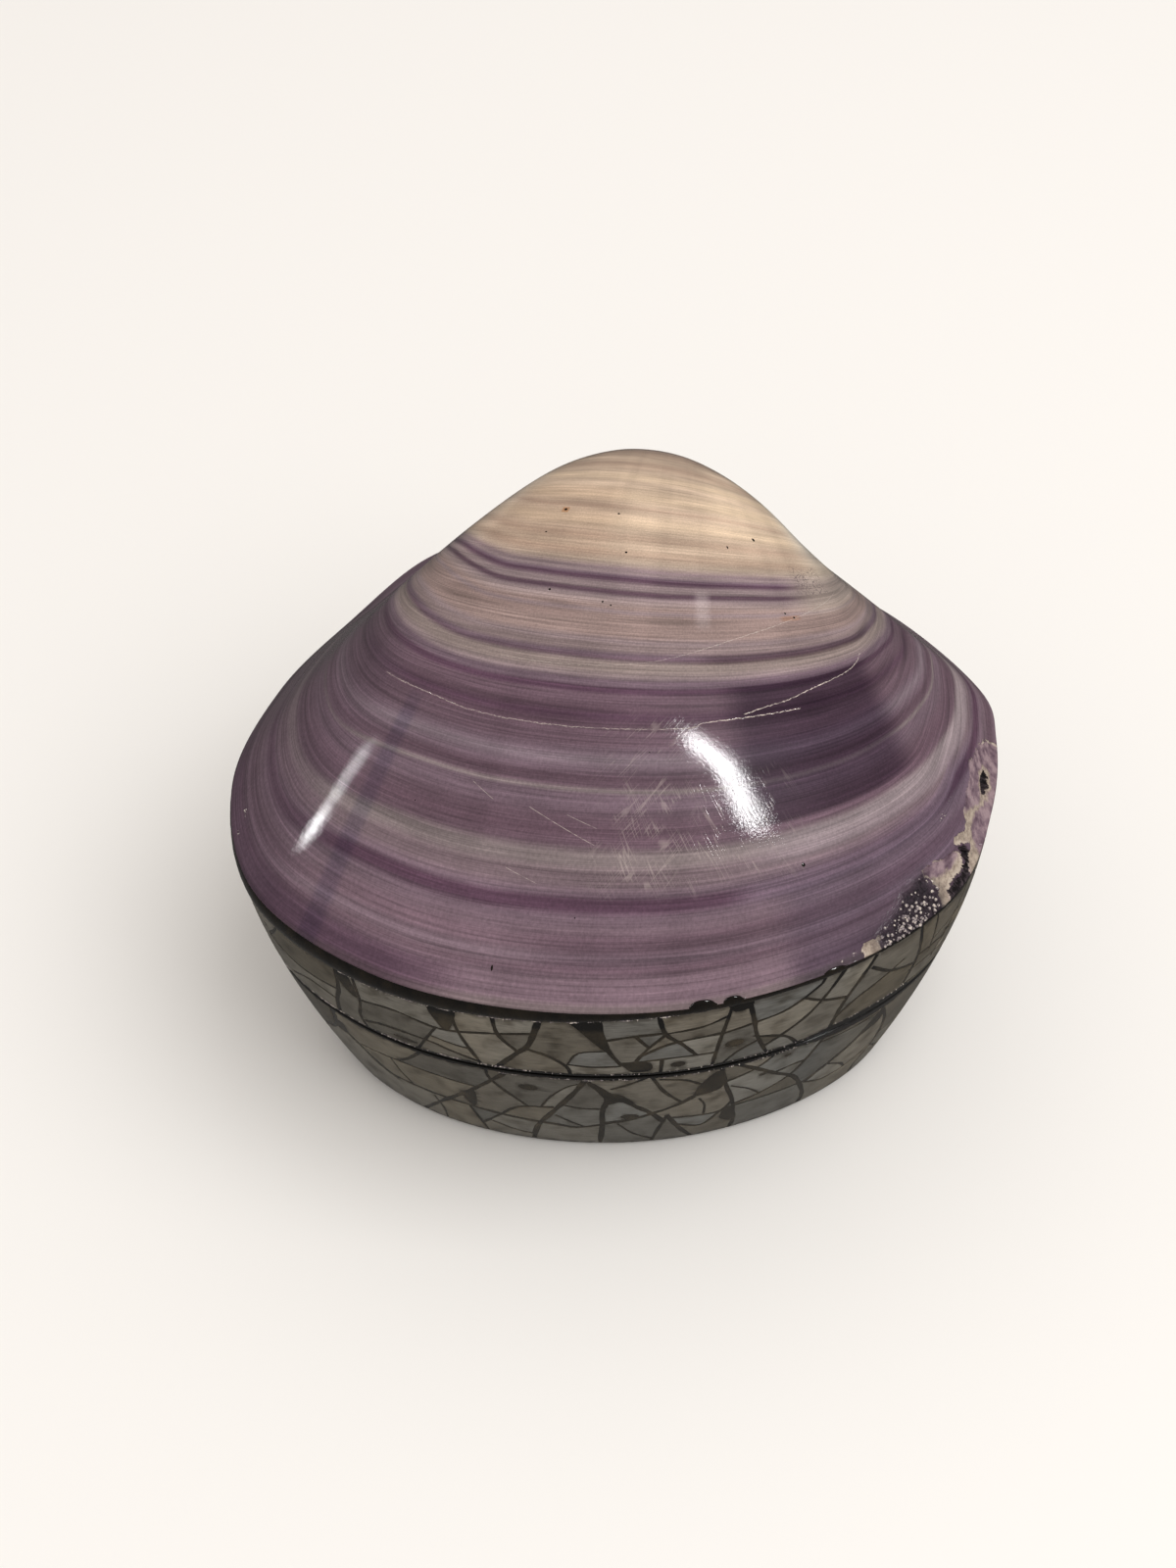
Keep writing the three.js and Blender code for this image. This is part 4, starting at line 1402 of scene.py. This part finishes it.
shellChips = chipMaterial()
ragged = chips["ragged"]
trayRim, lidRim = chips["trayTop"] - chips["trayTopGap"], chips["lidBottom"] + chips["lidBottomGap"]
trayTop = raggedEdge(lambda a: trayRim - wornPartingAt(a), ragged["trayTop"], 1.3)
trayBottom = raggedEdge(lambda a: np.full(len(a), chips["trayBottom"]), ragged["trayBottom"], 5.1)
lidTop = raggedEdge(lambda a: seamHeight - beadHeightAt(a), ragged["lidTop"], 8.4)
lidBottom = raggedEdge(lambda a: lidRim + wornPartingAt(a), ragged["lidBottom"], 3.7)
trayChips = makeChips("tray_chips", trayCracks, trayVoids, traySpots, trayBottom, trayTop,
                      *chips["trayReach"], chips["seed"])
lidChips = makeChips("lid_chips", lidCracks, lidVoids, lidSpots, lidBottom, lidTop,
                     *chips["lidReach"], chips["seed"] + 1)
for piece, node in ((trayChips, "box_inlay"), (lidChips, "lid_inlay")):
    piece.data.materials.append(shellChips)
    finishPiece(piece, "shell_chips", node)
print("chips laid:", [len(piece.data.polygons) for piece in (trayChips, lidChips, clamShell)])

# Black bead of resin between the shell's edge and the chips
bead = {
    "places": 900,
    "flatness": 0.42,
    "sunk": 0.62,            # share of the bead's half width that lies inside the wall
    "hiddenDepth": 0.9,      # further in at the right, round this place, where the shell covers it
    "hiddenAt": 78,
    "hiddenReach": (42, 30),
    "spareHeight": 0.08,
    "unevenness": 0.00009,
    "grainSize": 900.0,
    # drops where more resin was squeezed out: place along the wall, length, extra half height
    "drops": ((17.6, 1.1, 0.45), (21.0, 0.8, 0.35), (-31, 1.2, 0.15), (-12, 2.0, 0.12), (33, 1.0, 0.15)),
}


def beadMaterial():
    material, tree, shader = newMaterial("blackResin", Roughness=0.14, Coat_Weight=0.6, Coat_Roughness=0.05)
    place = put(tree, "ShaderNodeTexCoord").outputs["Object"]
    colour = colourRamp(tree, grain(tree, place, 500, 3), ((0.35, "0a0807"), (0.7, "1c1710")))
    tree.links.new(colour, shader.inputs["Base Color"])
    addRelief(tree, shader, grain(tree, place, 1600, 3), 0.5, 0.1)
    return material


def tubeTree(material):
    tree, given = newGeometryTree("bead", {"Flatness": "Float", "Unevenness": "Float", "Grain Size": "Float"})
    path = put(tree, "GeometryNodeMeshToCurve", {"Mesh": given["Geometry"]}).outputs[0]
    path = put(tree, "GeometryNodeSetCurveNormal", {"Curve": path}, mode="Z_UP").outputs[0]
    circle = put(tree, "GeometryNodeCurvePrimitiveCircle", {"Resolution": 14, "Radius": 1.0}).outputs[0]
    scale = put(tree, "ShaderNodeCombineXYZ", {0: given["Flatness"], 1: 1.0, 2: 1.0}).outputs[0]
    profile = put(tree, "GeometryNodeTransform", {"Geometry": circle, "Scale": scale}).outputs[0]
    radius = named(tree, "halfHeight")
    sockets = {"Curve": path, "Profile Curve": profile, "Scale": radius}
    tube = put(tree, "GeometryNodeCurveToMesh", sockets).outputs[0]
    wave = put(tree, "ShaderNodeTexNoise", {"Scale": given["Grain Size"], "Detail": 3.0}).outputs[0]
    push = calc(tree, "MULTIPLY", calc(tree, "SUBTRACT", wave, 0.5), given["Unevenness"])
    normal = put(tree, "GeometryNodeInputNormal").outputs[0]
    offset = put(tree, "ShaderNodeVectorMath", {0: normal, "Scale": push}, operation="SCALE").outputs[0]
    moved = put(tree, "GeometryNodeSetPosition", {"Geometry": tube, "Offset": offset}).outputs[0]
    smooth = put(tree, "GeometryNodeSetShadeSmooth", {"Geometry": moved}).outputs[0]
    finishTree(tree, smooth, material)
    return tree


def tubeValues(sizes):
    flatness, unevenness = sizes["flatness"], sizes["unevenness"]
    return {"Flatness": flatness, "Unevenness": unevenness, "Grain Size": sizes["grainSize"]}


def makeBead(material):
    count = bead["places"]
    along = np.linspace(-perimeter / 2, perimeter / 2, count, endpoint=False)
    half = beadHeightAt(along) / 2 + bead["spareHeight"]
    middle = seamHeight - beadHeightAt(along) / 2
    for at, length, extra in bead["drops"]:
        swell = extra * np.exp(-((along - at) / length) ** 4)
        half, middle = half + swell, middle + swell * 0.6
    hidden = smoothStep(np.abs(along - bead["hiddenAt"]), *bead["hiddenReach"])
    depth = half * bead["flatness"] * bead["sunk"] + bead["hiddenDepth"] * hidden
    points = wallPoint(along, np.minimum(middle, seamHeight), depth)
    points[:, 2] = middle
    path = bareMesh(points, [(i, (i + 1) % count) for i in range(count)], half * mm)
    return grownPiece("seam_bead", path, tubeTree(material), tubeValues(bead))


# Painted glints on the chipped edges of the chips, as thin pale lines: along the wall from and to, height or
# None for under the bead, half width, how broken
edges = {
    "step": 0.18,
    "lines": ((-24, 16, None, 0.075, -0.05), (-37, -2, 23.05, 0.055, -0.12), (-6, 30, 21.4, 0.035, 0.1)),
    "depth": 0.02,
    "wander": 0.12,
    "belowBead": 0.05,
    "flatness": 0.8,
    "unevenness": 0.00005,
    "grainSize": 2500.0,
}


def edgeLevels(places, height):
    if height is None:
        return seamHeight - beadHeightAt(places) - edges["belowBead"]
    return np.full(len(places), height)


def makeEdges(material):
    points, halves, links = [], [], []
    for row, (start, end, height, half, broken) in enumerate(edges["lines"]):
        places = np.arange(start, end, edges["step"])
        wander = [noise.fractal(Vector((x * 0.8, row * 3.3, 2.0)), 0.8, 2.1, 3) for x in places]
        thick = np.array([noise.noise(Vector((x * 0.7, row * 2.1, 7.0))) for x in places])
        kept, first = thick > broken, len(points)
        links += [(first + i, first + i + 1) for i in range(len(places) - 1) if kept[i] and kept[i + 1]]
        heights = edgeLevels(places, height) + edges["wander"] * np.array(wander)
        points.extend(wallPoint(places, heights, edges["depth"]))
        halves.extend(half * np.clip(thick - broken, 0.02, 0.4) / 0.4)
    used = sorted({i for link in links for i in link})
    order = {i: n for n, i in enumerate(used)}
    links = [(order[a], order[b]) for a, b in links]
    path = bareMesh([points[i] for i in used], links, [halves[i] * mm for i in used])
    return grownPiece("painted_edge_glints", path, tubeTree(material), tubeValues(edges))


blackResin = beadMaterial()
seamBead = makeBead(blackResin)
finishPiece(seamBead, "dark_resin")

# Crumbs of shell in the damaged patch, pinholes in the polish, and pale specks: painted glints along the
# parting line and under the bead, and small pale chips in the polish
crumbs = {
    "perSquareMetre": 5.5e6,
    "smallest": 0.00004,
    "largest": 0.00024,
    "seed": 4,
    # angle, turn, half width and half length of the hole in millimetres
    "pinholes": ((-4.5, 0.038, 0.16, 0.45), (24, 0.132, 0.3, 0.3), (2, 0.10, 0.1, 0.12),
                 (-9, 0.587, 0.2, 0.2), (-0.5, 0.572, 0.12, 0.25), (0.8, 0.566, 0.15, 0.15),
                 (1.6, 0.703, 0.2, 0.2), (29, 0.557, 0.18, 0.18), (30.5, 0.545, 0.2, 0.2),
                 (20.5, 0.75, 0.14, 0.3), (27, 0.792, 0.22, 0.4), (-14, 0.742, 0.16, 0.16),
                 (-12.5, 0.83, 0.25, 0.3), (-1.5, 0.83, 0.2, 0.2), (8, 0.31, 0.1, 0.1), (-16, 0.2, 0.1, 0.1)),
    "pinholeSteps": 10,
    "pinholeRows": 5,
    "pinholeRise": 0.1,
    "pinholeSink": 0.6,      # share of the rise that lies below the surface
    # specks that are painted glints: along the wall from and to, height or None for under the bead, spread,
    # count
    "specks": ((-34, -4, 23.0, 0.12, 50), (-2, 32, 23.0, 0.12, 45), (-2, 32, 21.55, 0.12, 60),
               (34, 46, 23.95, 0.16, 25), (-24, 16, None, 0.16, 120)),
    "speckSize": 0.065,
    # small pale chips in the polish: angle, turn, spread in millimetres, count
    "chipped": ((-35, 0.03, 0.28, 12), (-34, 0.011, 0.14, 5), (26, 0.006, 0.1, 4), (27.3, 0.007, 0.25, 6),
                (42, 0.088, 0.5, 9), (44.2, 0.095, 0.3, 5)),
}


def grainTree(name, material, scattered):  # stones on the given points, or scattered over the crumbled patch
    inputs = {"Density": "Float", "Smallest": "Float", "Largest": "Float", "Seed": "Int"}
    tree, given = newGeometryTree(name, inputs)
    points = given["Geometry"]
    if scattered:
        turn = put(tree, "ShaderNodeSeparateXYZ", {0: named(tree, "growth", "FLOAT_VECTOR")}).outputs["Y"]
        nearEdge = fade(tree, turn, 0.045, 0.0, 0.14, 1)
        chosen = calc(tree, "MULTIPLY", fade(tree, named(tree, "crumbs"), -0.6, 1.6), nearEdge)
        amount = calc(tree, "MULTIPLY", given["Density"], chosen)
        sockets = {"Mesh": points, "Density": amount, "Seed": given["Seed"]}
        points = put(tree, "GeometryNodeDistributePointsOnFaces", sockets).outputs["Points"]
    else:
        points = put(tree, "GeometryNodeMeshToPoints", {"Mesh": points}).outputs[0]
    stone = put(tree, "GeometryNodeMeshIcoSphere", {"Radius": 1.0, "Subdivisions": 1}).outputs[0]
    sockets = {2: given["Smallest"], 3: given["Largest"], "Seed": given["Seed"]}
    size = put(tree, "FunctionNodeRandomValue", sockets, data_type="FLOAT").outputs[1]
    sockets = {1: (6.3, 6.3, 6.3), "Seed": given["Seed"]}  # about a full turn each way
    turned = put(tree, "FunctionNodeRandomValue", sockets, data_type="FLOAT_VECTOR").outputs[0]
    sockets = {"Points": points, "Instance": stone, "Rotation": turned, "Scale": size}
    finishTree(tree, put(tree, "GeometryNodeInstanceOnPoints", sockets).outputs[0], material)
    return tree


# pale grains, used for the crumbs and also for the painted glints along the wall
def crumbAndGlintMaterial():
    material, tree, shader = newMaterial("paleCrumbAndGlint", Roughness=0.45, Coat_Weight=0.4, Coat_Roughness=0.15)
    place = put(tree, "ShaderNodeTexCoord").outputs["Object"]
    stops = ((0.34, "4c4147"), (0.48, "91868a"), (0.62, "ddd2c6"))
    tree.links.new(colourRamp(tree, grain(tree, place, 4200, 2), stops), shader.inputs["Base Color"])
    return material


def surfaceFrame(angle, turn):  # a place on the shell, and the ways sideways, upwards and out of it
    sideways = shellPoint(angle + 0.1, turn) - shellPoint(angle - 0.1, turn)
    upwards = shellPoint(angle, turn + 0.001) - shellPoint(angle, turn - 0.001)
    sideways /= np.linalg.norm(sideways)
    outward = np.cross(sideways, upwards)
    outward /= np.linalg.norm(outward)
    return shellPoint(angle, turn), sideways, np.cross(outward, sideways), outward


def makePinholes():
    points, faces = [], []
    around, rows, rise = crumbs["pinholeSteps"], crumbs["pinholeRows"], crumbs["pinholeRise"]
    for angle, turn, halfWidth, halfLength in crumbs["pinholes"]:
        middle, sideways, upwards, outward = surfaceFrame(angle, turn)
        first = len(points)
        for level in (math.pi * row / rows for row in range(1, rows)):
            lift = rise * math.cos(level) - crumbs["pinholeSink"] * rise
            for way in (2 * math.pi * step / around for step in range(around)):
                spread = halfWidth * math.cos(way) * sideways + halfLength * math.sin(way) * upwards
                points.append(middle + math.sin(level) * spread + outward * lift)
        faces += gridFaces(rows - 1, around, first=first, around=True, flipped=True)
        faces.append(tuple(range(first, first + around)))
        faces.append(tuple(range(first + (rows - 2) * around, first + (rows - 1) * around))[::-1])
    return makeMesh("pinholes", points, faces)


def makeSpecks(material):
    rng = np.random.default_rng(crumbs["seed"])
    points = []
    # painted glints along the wall's edges first, then small pale chips on the shell
    for start, end, height, spread, count in crumbs["specks"]:
        along = rng.uniform(start, end, count)
        heights = seamHeight - beadHeightAt(along) if height is None else height  # None is under the bead
        heights = heights + rng.normal(0, spread * 0.5, count)
        points.append(wallPoint(along, heights, 0.02))
    for angle, turn, spread, count in crumbs["chipped"]:
        angles = angle + rng.normal(0, spread / clam["millimetresPerDegree"], count)
        turns = turn + np.abs(rng.normal(0, spread / clam["millimetresPerTurn"], count))
        points.append(shellPoint(angles, turns))
    tree = grainTree("specks", material, False)
    size = crumbs["speckSize"] * mm
    values = {"Smallest": size * 0.4, "Largest": size * 1.4, "Seed": crumbs["seed"]}
    return grownPiece("pale_specks", bareMesh(np.vstack(points)), tree, values)


paleCrumbAndGlint = crumbAndGlintMaterial()
values = {"Density": crumbs["perSquareMetre"], "Smallest": crumbs["smallest"], "Largest": crumbs["largest"],
          "Seed": crumbs["seed"]}
crumbGrains = grownPiece("crumb_grains", clamShell.data.copy(), grainTree("crumbs", paleCrumbAndGlint, True), values)
pinholes, specks, edgeGlints = makePinholes(), makeSpecks(paleCrumbAndGlint), makeEdges(paleCrumbAndGlint)
pinholes.data.materials.append(blackResin)
for piece, slot in ((crumbGrains, "shell_chips"), (pinholes, "dark_resin"), (specks, "shell_chips"),
                    (edgeGlints, "shell_chips")):
    finishPiece(piece, slot)
print("bead, crumbs and pinholes made:", len(crumbGrains.data.polygons), len(specks.data.polygons))
